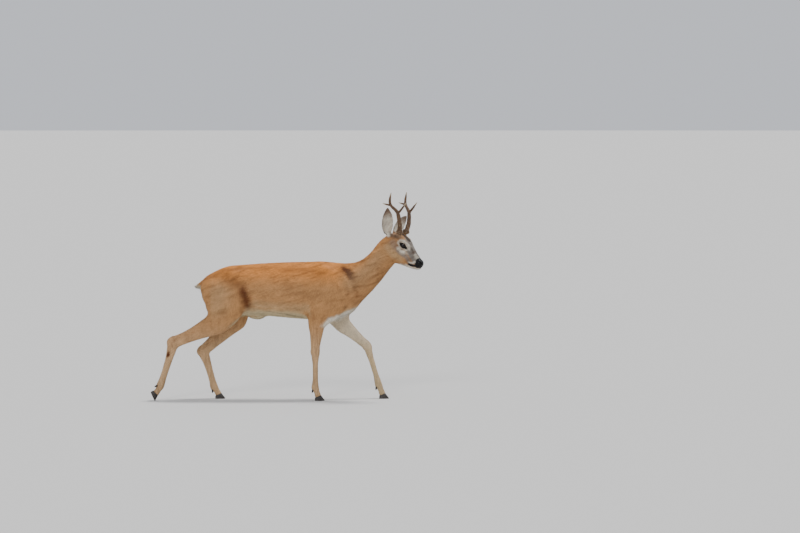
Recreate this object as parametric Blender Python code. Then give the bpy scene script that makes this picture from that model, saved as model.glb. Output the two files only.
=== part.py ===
"""A roebuck in its summer coat, walking, as a still life-size model.

The buck walks towards +X with +Z up, so its right side faces -Y, and it turns its head to the right.
Trunk, neck, head and legs are lofted as closed forms, melted into one body and parted again by thin cuts.
Ears, eyes, antlers, claws and dewclaws are solids of their own, let into the flesh or set on it.
All coordinates are metres. At the end the whole model is moved so that the origin lies on the floor,
under the middle of its box.
"""

import math

import bmesh
import bpy
from mathutils import Matrix, Vector

# Driving dimensions.
GAP = 0.0004  # between neighbouring solids
RING_SEGMENTS = 20  # sides of a lofted form
RINGS_PER_SPAN = 4  # rings that a loft adds between two stations
MASS_GRAIN = 3  # subdivisions of a rounded mass
VOXEL = 0.0040  # grain at which the forms melt together
TRUNK_SOFTENING = 60  # passes that smooth the trunk
BODY_SOFTENING = 7  # passes that smooth everything
SOFT_HEIGHTS = (0.33, 0.43)  # z between which the trunk's softening sets in
HEAD_BEGINS = (0.38, 0.50)  # x between which it fades towards the head
HEAD_FIRMNESS = 0.75  # share of it that the head is spared
BODY_TRIANGLES = 3250  # of all the flesh before it is parted
MERGE = 0.00005  # vertices closer than this are one
FAR_OUT = 0.30  # a y beyond the body's sides
CORONET_SLOPE = math.radians(23)  # of the claws' upper edge, down to the heel
SIDES = {"right": -1.0, "left": 1.0}
NO_TURN = Matrix.Identity(4)
NO_BEND = Vector((0, 0, 0))
ORIGIN = Vector((0, 0, 0))
UP = Vector((0, 0, 1))
SKEW = Vector((0.2, 0.3, 0.93))  # a direction that no branch or claw follows

# The head's own frame: origin at the poll, +X to the nose, +Y to the buck's left, +Z out of the forehead.
POLL = Vector((0.505, -0.004, 0.817))
HEAD_YAW = math.radians(-30)  # turned to the buck's right
HEAD_PITCH = math.radians(32)  # nose down
HEAD_FRAME = (
    Matrix.Translation(POLL) @ Matrix.Rotation(HEAD_YAW, 4, "Z") @ Matrix.Rotation(HEAD_PITCH, 4, "Y")
)

# Sections of trunk and neck, from the rump to the throat:
# (x, z) on the back, (x, z) on the belly or throat, half-width, y of the middle, fullness of the lower half.
TRUNK_SECTIONS = (
    ((-0.444, 0.575), (-0.422, 0.512), 0.036, 0.000, 0.00),
    ((-0.418, 0.617), (-0.398, 0.450), 0.066, 0.000, 0.00),
    ((-0.365, 0.648), (-0.350, 0.424), 0.084, 0.000, -0.06),
    ((-0.305, 0.672), (-0.285, 0.420), 0.091, 0.000, -0.04),
    ((-0.215, 0.681), (-0.190, 0.424), 0.094, 0.000, 0.06),
    ((-0.115, 0.688), (-0.100, 0.418), 0.100, 0.000, 0.10),
    ((-0.010, 0.693), (-0.005, 0.409), 0.104, 0.000, 0.10),
    ((0.085, 0.695), (0.085, 0.402), 0.100, 0.000, 0.04),
    ((0.170, 0.699), (0.160, 0.396), 0.090, 0.000, -0.04),
    ((0.245, 0.692), (0.245, 0.406), 0.079, 0.000, -0.08),
    ((0.305, 0.689), (0.319, 0.429), 0.069, 0.000, -0.04),
    ((0.350, 0.697), (0.376, 0.492), 0.060, 0.000, 0.00),
    ((0.388, 0.719), (0.422, 0.539), 0.053, 0.000, 0.04),
    ((0.427, 0.758), (0.471, 0.598), 0.047, 0.000, 0.04),
    ((0.458, 0.798), (0.510, 0.650), 0.043, -0.003, 0.00),
    ((0.490, 0.822), (0.540, 0.685), 0.041, -0.008, 0.00),
)

# Sections of the head in its own frame: (x, z) above, (x, z) below, half-width, fullness of the lower half.
HEAD_SECTIONS = (
    ((-0.014, 0.006), (0.040, -0.094), 0.036, 0.00),
    ((0.020, 0.040), (0.075, -0.097), 0.042, -0.04),
    ((0.058, 0.058), (0.104, -0.090), 0.043, -0.12),
    ((0.094, 0.058), (0.134, -0.081), 0.0415, -0.20),
    ((0.126, 0.047), (0.158, -0.075), 0.034, -0.14),
    ((0.156, 0.034), (0.180, -0.069), 0.0275, -0.02),
    ((0.185, 0.021), (0.200, -0.063), 0.0240, 0.06),
    ((0.211, 0.0115), (0.217, -0.055), 0.0235, 0.04),
    ((0.231, 0.003), (0.230, -0.049), 0.0215, 0.02),
    ((0.242, -0.005), (0.238, -0.041), 0.0150, 0.00),
)

# Rounded masses that swell the lofts: centre, half-sizes and nose-down turn in degrees.
HEAD_MASSES = (
    ((0.102, 0.0270, 0.0415), (0.030, 0.0135, 0.0100), 16),  # brow
    ((0.112, 0.0250, -0.0040), (0.036, 0.0140, 0.0100), 16),  # cheekbone, under the eye
    ((0.070, 0.0240, -0.042), (0.040, 0.0170, 0.036), 30),  # cheek
    ((0.055, 0.0295, 0.0490), (0.0165, 0.0150, 0.0180), 0),  # pedicle, under the antler
    ((0.010, 0.0330, 0.0225), (0.0215, 0.0160, 0.0170), 20),  # root of the ear
    ((0.221, 0.0110, -0.007), (0.018, 0.0125, 0.0120), 10),  # wing of the nose
)
BODY_MASSES = (
    ((0.270, 0.046, 0.520), (0.045, 0.032, 0.070), 0),  # point of the shoulder
    ((0.185, 0.058, 0.610), (0.060, 0.024, 0.065), 20),  # shoulder blade
    ((-0.385, 0.046, 0.560), (0.054, 0.034, 0.060), 10),  # buttock
    ((-0.275, 0.050, 0.612), (0.060, 0.036, 0.050), 0),  # hip
    ((-0.160, 0.000, 0.424), (0.055, 0.018, 0.020), 5),  # sheath, behind the navel
)

# Each leg's joints: (x, y, z) of top, middle, elbow or stifle, knee or hock, fetlock and coronet.
# y counts outwards from the median plane.
LEG_JOINTS = {
    "fore_right": (
        (0.185, 0.044, 0.650), (0.205, 0.056, 0.520), (0.146, 0.062, 0.400),
        (0.137, 0.062, 0.243), (0.138, 0.058, 0.066), (0.154, 0.057, 0.020),
    ),
    "fore_left": (
        (0.200, 0.044, 0.650), (0.228, 0.056, 0.520), (0.250, 0.062, 0.395),
        (0.395, 0.062, 0.264), (0.454, 0.058, 0.071), (0.475, 0.057, 0.020),
    ),
    "hind_right": (
        (-0.345, 0.048, 0.600), (-0.315, 0.056, 0.485), (-0.328, 0.062, 0.405),
        (-0.567, 0.060, 0.286), (-0.6345, 0.058, 0.075), (-0.6585, 0.058, 0.0362),
    ),
    "hind_left": (
        (-0.335, 0.048, 0.600), (-0.292, 0.056, 0.488), (-0.252, 0.062, 0.419),
        (-0.424, 0.060, 0.236), (-0.373, 0.058, 0.058), (-0.350, 0.058, 0.020),
    ),
}  # fmt: skip

# Sections along a leg: bone, share along it, depth, width, shift to the front.
FORE_SECTIONS = (
    (0, 0.00, 0.120, 0.040, 0.000),
    (0, 0.45, 0.185, 0.068, 0.000),
    (1, 0.00, 0.212, 0.082, 0.000),
    (1, 0.50, 0.188, 0.080, 0.006),
    (1, 0.90, 0.128, 0.066, 0.002),
    (2, 0.20, 0.088, 0.054, 0.001),
    (2, 0.45, 0.067, 0.044, 0.002),
    (2, 0.75, 0.051, 0.037, 0.001),
    (3, 0.00, 0.047, 0.039, 0.002),
    (3, 0.15, 0.039, 0.034, 0.002),
    (3, 0.35, 0.031, 0.027, 0.002),
    (3, 0.75, 0.030, 0.026, 0.002),
    (4, 0.00, 0.040, 0.034, 0.000),
    (4, 0.50, 0.033, 0.031, 0.000),
    (4, 1.00, 0.035, 0.037, 0.000),
    (4, 1.25, 0.033, 0.037, 0.000),
)
HIND_SECTIONS = (
    (0, 0.00, 0.160, 0.060, 0.004),
    (0, 0.50, 0.212, 0.084, 0.000),
    (1, 0.00, 0.205, 0.092, 0.004),
    (1, 0.60, 0.190, 0.090, 0.005),
    (2, 0.10, 0.132, 0.074, 0.000),
    (2, 0.30, 0.104, 0.056, 0.000),
    (2, 0.55, 0.078, 0.043, 0.000),
    (2, 0.80, 0.064, 0.034, -0.002),
    (3, 0.00, 0.070, 0.037, -0.005),
    (3, 0.14, 0.054, 0.034, -0.003),
    (3, 0.35, 0.041, 0.029, 0.000),
    (3, 0.75, 0.036, 0.027, 0.000),
    (4, 0.00, 0.043, 0.034, -0.001),
    (4, 0.50, 0.034, 0.031, 0.000),
    (4, 1.00, 0.036, 0.037, 0.000),
    (4, 1.25, 0.034, 0.037, 0.000),
)

# Seams, as side-view outlines (x, z). A leg's upper seam runs round its shoulder or thigh,
# and its lower seam round everything below the elbow or stifle.
UPPER_SEAMS = {
    "fore_right": (
        (0.075, 0.370), (0.085, 0.480), (0.115, 0.600), (0.150, 0.655), (0.215, 0.660),
        (0.285, 0.580), (0.305, 0.490), (0.270, 0.370),
    ),
    "fore_left": (
        (0.190, 0.305), (0.130, 0.410), (0.120, 0.500), (0.130, 0.600), (0.165, 0.655), (0.230, 0.660),
        (0.300, 0.580), (0.320, 0.490), (0.318, 0.395),
    ),
    "hind_right": (
        (-0.375, 0.275), (-0.150, 0.310), (-0.180, 0.450), (-0.205, 0.550), (-0.270, 0.630),
        (-0.370, 0.622), (-0.435, 0.555), (-0.540, 0.548), (-0.475, 0.440),
    ),
    "hind_left": (
        (-0.330, 0.215), (-0.140, 0.310), (-0.170, 0.450), (-0.200, 0.550), (-0.265, 0.630),
        (-0.365, 0.622), (-0.435, 0.555), (-0.540, 0.548), (-0.450, 0.380), (-0.400, 0.360),
    ),
}  # fmt: skip
LOWER_SEAMS = {
    "fore_right": ((0.040, 0.383), (0.275, 0.383), (0.275, -0.050), (0.040, -0.050)),
    "fore_left": (
        (0.205, 0.317), (0.316, 0.412), (0.420, 0.400), (0.600, 0.300), (0.600, -0.050),
        (0.380, -0.050), (0.300, 0.180),
    ),
    "hind_right": (
        (-0.355, 0.285), (-0.460, 0.480), (-0.700, 0.420), (-0.800, 0.200), (-0.800, -0.050),
        (-0.560, -0.050), (-0.460, 0.200),
    ),
    "hind_left": (
        (-0.315, 0.225), (-0.375, 0.400), (-0.480, 0.330), (-0.560, 0.150), (-0.500, -0.050),
        (-0.250, -0.050), (-0.260, 0.120),
    ),
}  # fmt: skip
LOWER_INNER_SEAM = ((0.0, 0.008), (1.0, 0.008))  # two (z, y), upright, clear of the median plane
INNER_SEAM = {"fore": ((0.300, 0.004), (0.650, 0.066)), "hind": ((0.280, 0.002), (0.620, 0.062))}
NECK_SEAM = (Vector((0.330, 0.0, 0.690)), Vector((0.90, 0.0, 0.43)))
HEAD_SEAM = (Vector((0.018, 0.0, -0.040)), Vector((0.91, 0.0, 0.415)))  # in the head's frame
LEG_PARTS = {
    "fore": ("upper", "forearm", "cannon", "pastern"),
    "hind": ("thigh", "gaskin", "cannon", "pastern"),
}

# Antlers in the head's frame, for the left side: (x, y, z, diameter) along each branch, from its root out.
ANTLER_BRANCHES = {
    "beam": (
        (0.053, 0.030, 0.044, 0.012), (0.054, 0.031, 0.056, 0.021), (0.055, 0.032, 0.062, 0.033),
        (0.055, 0.034, 0.070, 0.034), (0.053, 0.036, 0.077, 0.0250), (0.042, 0.045, 0.104, 0.0220),
        (0.024, 0.052, 0.130, 0.0200), (0.008, 0.056, 0.150, 0.0190),
    ),
    "upper_beam": (
        (0.008, 0.056, 0.150, 0.0190), (-0.012, 0.062, 0.158, 0.0165), (-0.034, 0.072, 0.164, 0.0150),
        (-0.050, 0.077, 0.178, 0.0135), (-0.060, 0.078, 0.200, 0.0100), (-0.068, 0.077, 0.222, 0.0035),
    ),
    "front_tine": (
        (0.012, 0.055, 0.140, 0.0120), (0.012, 0.055, 0.158, 0.0130), (0.016, 0.055, 0.182, 0.0110),
        (0.019, 0.055, 0.202, 0.0080), (0.021, 0.055, 0.218, 0.0030),
    ),
    "rear_tine": (
        (-0.037, 0.073, 0.164, 0.0065), (-0.048, 0.077, 0.162, 0.0105), (-0.064, 0.079, 0.156, 0.0080),
        (-0.080, 0.080, 0.151, 0.0030),
    ),
}  # fmt: skip
ANTLER_SEGMENTS = 8

# Ears in the head's frame, as on the left side: root, and each side's direction and way of opening.
# The right ear stands up and the left one is held out sideways.
EAR_ROOT = Vector((0.005, 0.034, 0.019))
EAR_DIRECTION = {"right": Vector((-0.32, 0.335, 0.885)), "left": Vector((-0.29, 0.80, 0.52))}
EAR_OPENING = {"right": Vector((0.62, 0.67, 0.39)), "left": Vector((0.75, -0.12, 0.62))}
EAR_LENGTH = 0.147
EAR_SEGMENTS = 14
EAR_SECTIONS = (  # share of the length, half-width, thickness, depth of the cup
    (0.00, 0.0195, 0.0110, 0.008),
    (0.14, 0.0265, 0.0082, 0.014),
    (0.30, 0.0310, 0.0056, 0.017),
    (0.50, 0.0315, 0.0042, 0.015),
    (0.70, 0.0270, 0.0036, 0.011),
    (0.86, 0.0170, 0.0032, 0.007),
    (0.95, 0.0090, 0.0028, 0.003),
    (1.00, 0.0030, 0.0024, 0.001),
)

EYE_CENTRE = Vector((0.107, 0.0290, 0.0190))  # in the head's frame, left side
EYE_RADIUS = 0.0145
EYE_SEGMENTS, EYE_RINGS = 12, 8
SOCKET_ROOM = 1.2 * GAP  # round the eyeball

# A claw in its foot's frame, where +X points to the toes and z = 0 is the sole:
# (x, height, inner y, outer y), from the heel to the tip.
CLAW_SECTIONS = (
    (-0.0175, 0.0110, 0.0040, 0.0150),
    (-0.0130, 0.0240, 0.0016, 0.0182),
    (-0.0030, 0.0340, 0.0012, 0.0195),
    (0.0080, 0.0330, 0.0012, 0.0190),
    (0.0170, 0.0225, 0.0018, 0.0170),
    (0.0255, 0.0110, 0.0030, 0.0135),
    (0.0320, 0.0030, 0.0050, 0.0095),
)
CLAW_SEGMENTS = 8
CORONET_HEIGHT = 0.020  # of the coronet's middle over the sole
FOOT_TURN = {"hind_right": math.radians(66)}  # toes down of the trailing foot; the others stand flat
DEWCLAW_SECTIONS = ((0.000, 0.0115), (0.009, 0.0105), (0.018, 0.0040))  # distance from the root, diameter
DEWCLAW_SEGMENTS = 6
DEWCLAW_ROOT = (0.006, 0.013, 0.0105)  # down, behind and aside of the fetlock's middle
DEWCLAW_WAY = (0.80, 0.55, 0.15)  # down, behind and aside
TAIL_SEGMENTS = 12
TAIL_SECTIONS = (
    ((-0.425, 0.606), (-0.418, 0.560), 0.024, 0.0),
    ((-0.448, 0.588), (-0.440, 0.556), 0.018, 0.0),
    ((-0.463, 0.577), (-0.458, 0.560), 0.011, 0.0),
    ((-0.470, 0.571), (-0.468, 0.565), 0.004, 0.0),
)


def clear_scene():
    for old in list(bpy.data.objects):
        bpy.data.objects.remove(old)


def material(name, colour, roughness):
    made = bpy.data.materials.new(name)
    made.use_nodes = True
    shader = made.node_tree.nodes["Principled BSDF"]
    shader.inputs["Base Color"].default_value = (*colour, 1.0)
    shader.inputs["Roughness"].default_value = roughness
    return made


def add_object(name, bm, finish=None):
    """An object made of bm, which is used up."""
    mesh = bpy.data.meshes.new(name)
    bm.to_mesh(mesh)
    bm.free()
    made = bpy.data.objects.new(name, mesh)
    bpy.context.scene.collection.objects.link(made)
    if finish:
        mesh.materials.append(finish)
    return made


def evaluated_bmesh(obj):
    """The mesh of obj with its modifiers, as a bmesh."""
    bm = bmesh.new()
    bm.from_object(obj, bpy.context.evaluated_depsgraph_get())
    return bm


def boolean(source, cutter, operation):
    """A new bmesh of source combined with cutter. Both stay as they are."""
    base = add_object("base", source.copy())
    tool = add_object("tool", cutter.copy())
    cut = base.modifiers.new("cut", "BOOLEAN")
    cut.object = tool
    cut.operation = operation
    made = evaluated_bmesh(base)
    for helper in (base, tool):
        bpy.data.objects.remove(helper)
    bmesh.ops.remove_doubles(made, verts=made.verts, dist=MERGE)
    bmesh.ops.dissolve_degenerate(made, edges=made.edges, dist=MERGE)
    return made


def half(source, point, normal):
    """A closed copy of what lies on the side of the plane to which normal points."""
    made = source.copy()
    geometry = [*made.verts, *made.edges, *made.faces]
    bmesh.ops.bisect_plane(made, geom=geometry, plane_co=point, plane_no=normal, clear_inner=True)
    rim = [edge for edge in made.edges if edge.is_boundary]
    bmesh.ops.holes_fill(made, edges=rim, sides=0)
    return made


def split(source, point, normal):
    """The two closed sides of source, before and behind the plane, GAP apart."""
    normal = normal.normalized()
    return half(source, point + normal * GAP / 2, normal), half(source, point - normal * GAP / 2, -normal)


def grown(source, distance=GAP):
    """A copy whose surface lies further out."""
    made = source.copy()
    made.normal_update()
    for vert, normal in [(vert, vert.normal.copy()) for vert in made.verts]:
        vert.co += normal * distance * vert.calc_shell_factor()
    return made


def catmull_rom(a, b, c, d, t):
    """A point, or any value, between b and c on the smooth curve through a, b, c and d."""
    return 0.5 * (
        2 * b + (c - a) * t + (2 * a - 5 * b + 4 * c - d) * t**2 + (3 * b - a - 3 * c + d) * t**3
    )


def smooth_rings(rings, steps=RINGS_PER_SPAN):
    """Adds rings between the given ones. A ring is a tuple of vectors and numbers."""
    ends = [rings[0], *rings, rings[-1]]
    made = []
    for four in zip(ends, ends[1:], ends[2:], ends[3:]):
        for step in range(steps):
            made.append(tuple(catmull_rom(*values, step / steps) for values in zip(*four)))
    return [*made, rings[-1]]


def loft(rings, segments=RING_SEGMENTS):
    """A closed bmesh bridged from rings.

    A ring is (middle, half-depth vector, half-width vector, fullness of the half away from the half-depth
    vector, bend vector by which both sides are shifted).
    """
    bm = bmesh.new()
    loops = []
    for middle, depth, width, fullness, bend in rings:
        verts = bmesh.ops.create_circle(bm, segments=segments, radius=1.0)["verts"]
        for vert in verts:
            across, up = vert.co.x, vert.co.y
            vert.co = middle + depth * up + width * across * (1 - fullness * up) + bend * across**2
        loops.append(list({edge for vert in verts for edge in vert.link_edges}))
    for first, second in zip(loops, loops[1:]):
        bmesh.ops.bridge_loops(bm, edges=first + second)
    for end in (loops[0], loops[-1]):
        bmesh.ops.holes_fill(bm, edges=end, sides=0)
    bmesh.ops.recalc_face_normals(bm, faces=bm.faces)
    return bm


def side_ring(above, below, half_width, fullness, y=0.0):
    """A ring from its (x, z) above and below, seen from the side."""
    top = Vector((above[0], y, above[1]))
    bottom = Vector((below[0], y, below[1]))
    return (top + bottom) / 2, (top - bottom) / 2, Vector((0, half_width, 0)), fullness, NO_BEND


def leg_line(leg):
    side = SIDES[leg.split("_")[1]]
    return [Vector((x, side * y, z)) for x, y, z in LEG_JOINTS[leg]]


def leg_heading(line, bone, share):
    """The way down the leg, halfway between the two bones near a joint."""
    heading = (line[bone + 1] - line[bone]).normalized()
    if bone and share < 0.25:
        before = (line[bone] - line[bone - 1]).normalized()
        heading = before.lerp(heading, 0.5 + 2 * share).normalized()
    return heading


def front_of(heading):
    return Vector((-heading.z, 0, heading.x)).normalized()


def leg_rings(leg):
    """Rings square to the leg's line."""
    line = leg_line(leg)
    rings = []
    for bone, share, depth, width, shift in FORE_SECTIONS if leg.startswith("fore") else HIND_SECTIONS:
        front = front_of(leg_heading(line, bone, share))
        middle = line[bone].lerp(line[bone + 1], share) + front * shift
        rings.append((middle, front * depth / 2, Vector((0, width / 2, 0)), 0.0, NO_BEND))
    return rings


def path_rings(path):
    """Round rings along a path of (point, diameter)."""
    points = [point for point, _ in path]
    rings = []
    for index, (point, diameter) in enumerate(path):
        heading = (points[min(index + 1, len(points) - 1)] - points[max(index - 1, 0)]).normalized()
        first = heading.cross(SKEW).normalized()
        second = heading.cross(first)
        rings.append((point, first * diameter / 2, second * diameter / 2, 0.0, NO_BEND))
    return rings


def add_into(target, source):
    """Adds source, which is used up, to target as a separate shell."""
    mesh = bpy.data.meshes.new("shell")
    source.to_mesh(mesh)
    source.free()
    target.from_mesh(mesh)
    bpy.data.meshes.remove(mesh)


def add_mass(bm, centre, half_sizes, turn, frame=NO_TURN):
    """A rounded mass, on both sides of the median plane unless it lies in it."""
    for side in SIDES.values() if centre[1] else (0.0,):
        place = (
            frame
            @ Matrix.Translation((centre[0], centre[1] * side, centre[2]))
            @ Matrix.Rotation(math.radians(turn), 4, "Y")
            @ Matrix.Diagonal((*half_sizes, 1.0))
        )
        bmesh.ops.create_icosphere(bm, subdivisions=MASS_GRAIN, radius=1.0, matrix=place)


def flesh_forms():
    """All overlapping forms of the flesh in one object."""
    forms = bmesh.new()
    trunk = [side_ring(top, low, half_width, full, y) for top, low, half_width, y, full in TRUNK_SECTIONS]
    add_into(forms, loft(smooth_rings(trunk)))
    head = loft(smooth_rings([side_ring(*section) for section in HEAD_SECTIONS]))
    head.transform(HEAD_FRAME)
    add_into(forms, head)
    for leg in LEG_JOINTS:
        add_into(forms, loft(smooth_rings(leg_rings(leg))))
    for centre, half_sizes, turn in HEAD_MASSES:
        add_mass(forms, centre, half_sizes, turn, HEAD_FRAME)
    for centre, half_sizes, turn in BODY_MASSES:
        add_mass(forms, centre, half_sizes, turn)
    return add_object("forms", forms)


def ramp(value, low, high):
    """0 below low, 1 above high, and smooth between them."""
    share = min(max((value - low) / (high - low), 0.0), 1.0)
    return share * share * (3 - 2 * share)


def melted_body():
    """The flesh as one bmesh: forms melted together, softened most on the trunk, and thinned."""
    forms = flesh_forms()
    melt = forms.modifiers.new("melt", "REMESH")
    melt.mode = "VOXEL"
    melt.voxel_size = VOXEL
    body = add_object("melted", evaluated_bmesh(forms))
    trunk = body.vertex_groups.new(name="trunk")
    for vert in body.data.vertices:
        weight = ramp(vert.co.z, *SOFT_HEIGHTS) * (1 - HEAD_FIRMNESS * ramp(vert.co.x, *HEAD_BEGINS))
        trunk.add([vert.index], weight, "REPLACE")
    softenings = (("soften_trunk", "trunk", TRUNK_SOFTENING), ("soften_all", "", BODY_SOFTENING))
    for name, group, passes in softenings:
        soften = body.modifiers.new(name, "SMOOTH")
        soften.factor = 0.5
        soften.iterations = passes
        soften.vertex_group = group
    thin = body.modifiers.new("thin", "DECIMATE")
    thin.ratio = BODY_TRIANGLES / (2 * len(body.data.polygons))
    made = evaluated_bmesh(body)
    for helper in (forms, body):
        bpy.data.objects.remove(helper)
    return made


def seam_prism(outline, side, inner, shrink=0.0):
    """A closed prism with a side-view outline, from the inner seam's slanted plane outwards.

    inner is two (z, y) on that plane. shrink draws all its faces but the outer one inwards.
    """
    bm = bmesh.new()
    face = bm.faces.new([bm.verts.new((x, 0.0, z)) for x, z in outline])
    face.normal_update()
    if shrink:
        bmesh.ops.inset_individual(bm, faces=[face], thickness=shrink, use_even_offset=True)
        bmesh.ops.delete(bm, geom=[other for other in bm.faces if other is not face], context="FACES")
    outer = bmesh.ops.extrude_face_region(bm, geom=[face], use_keep_orig=True)["geom"]
    moved = {item for item in outer if isinstance(item, bmesh.types.BMVert)}
    (low_z, low_y), (high_z, high_y) = inner
    for vert in bm.verts:
        lean = low_y + (high_y - low_y) * (vert.co.z - low_z) / (high_z - low_z)
        vert.co.y = side * (FAR_OUT if vert in moved else lean + shrink)
    bmesh.ops.recalc_face_normals(bm, faces=bm.faces)
    return bm


def foot_frame(leg):
    """The foot's frame: origin on the sole below the coronet's middle, +X to the toes."""
    coronet = leg_line(leg)[5]
    turn = FOOT_TURN.get(leg, 0.0)
    level = Matrix.Translation(coronet) @ Matrix.Rotation(turn, 4, "Y")
    return level @ Matrix.Translation((0, 0, -CORONET_HEIGHT))


def coronet_plane(leg):
    """A point and the upward normal of the plane between pastern and claws."""
    frame = foot_frame(leg)
    up = Vector((-math.sin(CORONET_SLOPE), 0, math.cos(CORONET_SLOPE)))
    return frame @ Vector((0, 0, CORONET_HEIGHT)), frame.to_3x3() @ up


def make_legs(body, finish):
    """Cuts the four legs out of the body, makes their nodes and returns what is left and the pasterns."""
    pasterns = {}
    for leg in LEG_JOINTS:
        pair, side_name = leg.split("_")
        side = SIDES[side_name]
        pieces = []
        for outline, inner in ((LOWER_SEAMS[leg], LOWER_INNER_SEAM), (UPPER_SEAMS[leg], INNER_SEAM[pair])):
            pieces.append(boolean(body, seam_prism(outline, side, inner, GAP), "INTERSECT"))
            body = boolean(body, seam_prism(outline, side, inner), "DIFFERENCE")
        lower, upper = pieces
        line = leg_line(leg)
        cannon, forearm = split(lower, line[3], leg_heading(line, 3, 0.0))
        pastern, cannon = split(cannon, line[4], leg_heading(line, 4, 0.0))
        pastern = split(pastern, *coronet_plane(leg))[0]
        pasterns[leg] = pastern
        for name, piece in zip(LEG_PARTS[pair], (upper, forearm, cannon, pastern)):
            add_object(f"{pair}_{name}_{side_name}", piece.copy(), finish)
    return body, pasterns


def make_claws(leg, pastern, finish):
    """Two claws under the coronet and two dewclaws behind the fetlock."""
    frame = foot_frame(leg)
    point, up = coronet_plane(leg)
    pair, side_name = leg.split("_")
    line = leg_line(leg)
    heading = leg_heading(line, 4, 0.5)
    ways = Matrix((heading, -front_of(heading), Vector((0, 1, 0)))).transposed()
    for name, hand in (("outer", SIDES[side_name]), ("inner", -SIDES[side_name])):
        rings = []
        for x, height, inner_y, outer_y in CLAW_SECTIONS:
            middle = Vector((x, hand * (inner_y + outer_y) / 2, 0))
            width = Vector((0, (outer_y - inner_y) / 2, 0))
            rings.append((middle, UP * height, width, 0.0, NO_BEND))
        claw = half(loft(rings, CLAW_SEGMENTS), ORIGIN, UP)
        claw.transform(frame)
        claw = half(claw, point - up * GAP / 2, -up)
        if FOOT_TURN.get(leg):
            claw = half(claw, ORIGIN, UP)
        add_object(f"claw_{pair}_{side_name}_{name}", claw, finish)

        root = line[4] + ways @ Vector((*DEWCLAW_ROOT[:2], hand * DEWCLAW_ROOT[2]))
        way = (ways @ Vector((*DEWCLAW_WAY[:2], hand * DEWCLAW_WAY[2]))).normalized()
        path = [(root + way * distance, diameter) for distance, diameter in DEWCLAW_SECTIONS]
        dewclaw = boolean(loft(path_rings(path), DEWCLAW_SEGMENTS), grown(pastern), "DIFFERENCE")
        add_object(f"dewclaw_{pair}_{side_name}_{name}", dewclaw, finish)


def mirrored(vector, side):
    return Vector((vector[0], side * vector[1], vector[2]))


def eye_ball(side, radius):
    place = HEAD_FRAME @ Matrix.Translation(mirrored(EYE_CENTRE, side))
    bm = bmesh.new()
    bmesh.ops.create_uvsphere(bm, u_segments=EYE_SEGMENTS, v_segments=EYE_RINGS, radius=radius, matrix=place)
    return bm


def make_eyes(head, finish):
    """Eyeballs, and the head with a socket for each."""
    for side_name, side in SIDES.items():
        head = boolean(head, eye_ball(side, EYE_RADIUS + SOCKET_ROOM), "DIFFERENCE")
        add_object(f"eye_{side_name}", eye_ball(side, EYE_RADIUS), finish)
    return head


def make_ears(head, finish):
    for side_name, side in SIDES.items():
        way = mirrored(EAR_DIRECTION[side_name].normalized(), side)
        opening = mirrored(EAR_OPENING[side_name], side)
        opening = (opening - way * opening.dot(way)).normalized()
        across = way.cross(opening)
        rings = []
        for share, half_width, thickness, cup in EAR_SECTIONS:
            middle = mirrored(EAR_ROOT, side) + way * share * EAR_LENGTH - opening * cup
            rings.append((middle, opening * thickness / 2, across * half_width, 0.0, opening * cup))
        ear = loft(rings, EAR_SEGMENTS)
        ear.transform(HEAD_FRAME)
        add_object(f"ear_{side_name}", boolean(ear, grown(head), "DIFFERENCE"), finish)


def make_antlers(head, finish):
    for side_name, side in SIDES.items():
        branches = {}
        for name, stations in ANTLER_BRANCHES.items():
            path = [(mirrored(station, side), station[3]) for station in stations]
            steps = 2 if name == "upper_beam" else 1
            branches[name] = loft(smooth_rings(path_rings(path), steps), ANTLER_SEGMENTS)
            branches[name].transform(HEAD_FRAME)
        before, fork = (mirrored(station, side) for station in ANTLER_BRANCHES["beam"][-2:])
        after = mirrored(ANTLER_BRANCHES["upper_beam"][1], side)
        point, across = HEAD_FRAME @ fork, HEAD_FRAME.to_3x3() @ (after - before).normalized()
        rooted = boolean(branches["beam"], grown(head), "DIFFERENCE")
        branches["beam"] = half(rooted, point - across * GAP, -across)
        branches["upper_beam"] = half(branches["upper_beam"], point, across)
        for name, carriers in (("rear_tine", ("upper_beam",)), ("front_tine", ("beam", "upper_beam"))):
            for carrier in carriers:
                branches[name] = boolean(branches[name], grown(branches[carrier]), "DIFFERENCE")
        for name, branch in branches.items():
            add_object(f"antler_{side_name}_{name}", branch, finish)


def centre_on_floor():
    """Moves every mesh so that the origin is under the middle of the model's box, on the floor."""
    objects = list(bpy.context.scene.collection.objects)
    points = [vert.co for obj in objects for vert in obj.data.vertices]
    low = [min(point[axis] for point in points) for axis in range(3)]
    high = [max(point[axis] for point in points) for axis in range(3)]
    move = Vector((-(low[0] + high[0]) / 2, -(low[1] + high[1]) / 2, -low[2]))
    for obj in objects:
        obj.data.transform(Matrix.Translation(move))


def make_tail(trunk, finish):
    rings = smooth_rings([side_ring(*section) for section in TAIL_SECTIONS], 2)
    add_object("tail", boolean(loft(rings, TAIL_SEGMENTS), grown(trunk), "DIFFERENCE"), finish)


def main():
    clear_scene()
    coat = material("red_summer_coat", (0.42, 0.19, 0.07), 0.8)
    grey = material("grey_face", (0.22, 0.17, 0.13), 0.8)
    horn = material("dark_horn", (0.05, 0.04, 0.035), 0.5)
    antler = material("antler", (0.20, 0.12, 0.07), 0.6)
    eyeball = material("eye", (0.01, 0.008, 0.006), 0.1)

    body, pasterns = make_legs(melted_body(), coat)
    for leg, pastern in pasterns.items():
        make_claws(leg, pastern, horn)
    neck, trunk = split(body, *NECK_SEAM)
    point, normal = HEAD_SEAM
    head, neck = split(neck, HEAD_FRAME @ point, HEAD_FRAME.to_3x3() @ normal)
    head = make_eyes(head, eyeball)
    make_ears(head, grey)
    make_antlers(head, antler)
    make_tail(trunk, coat)
    add_object("head", head, grey)
    add_object("neck", neck, coat)
    add_object("trunk", trunk, coat)
    centre_on_floor()


main()
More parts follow.
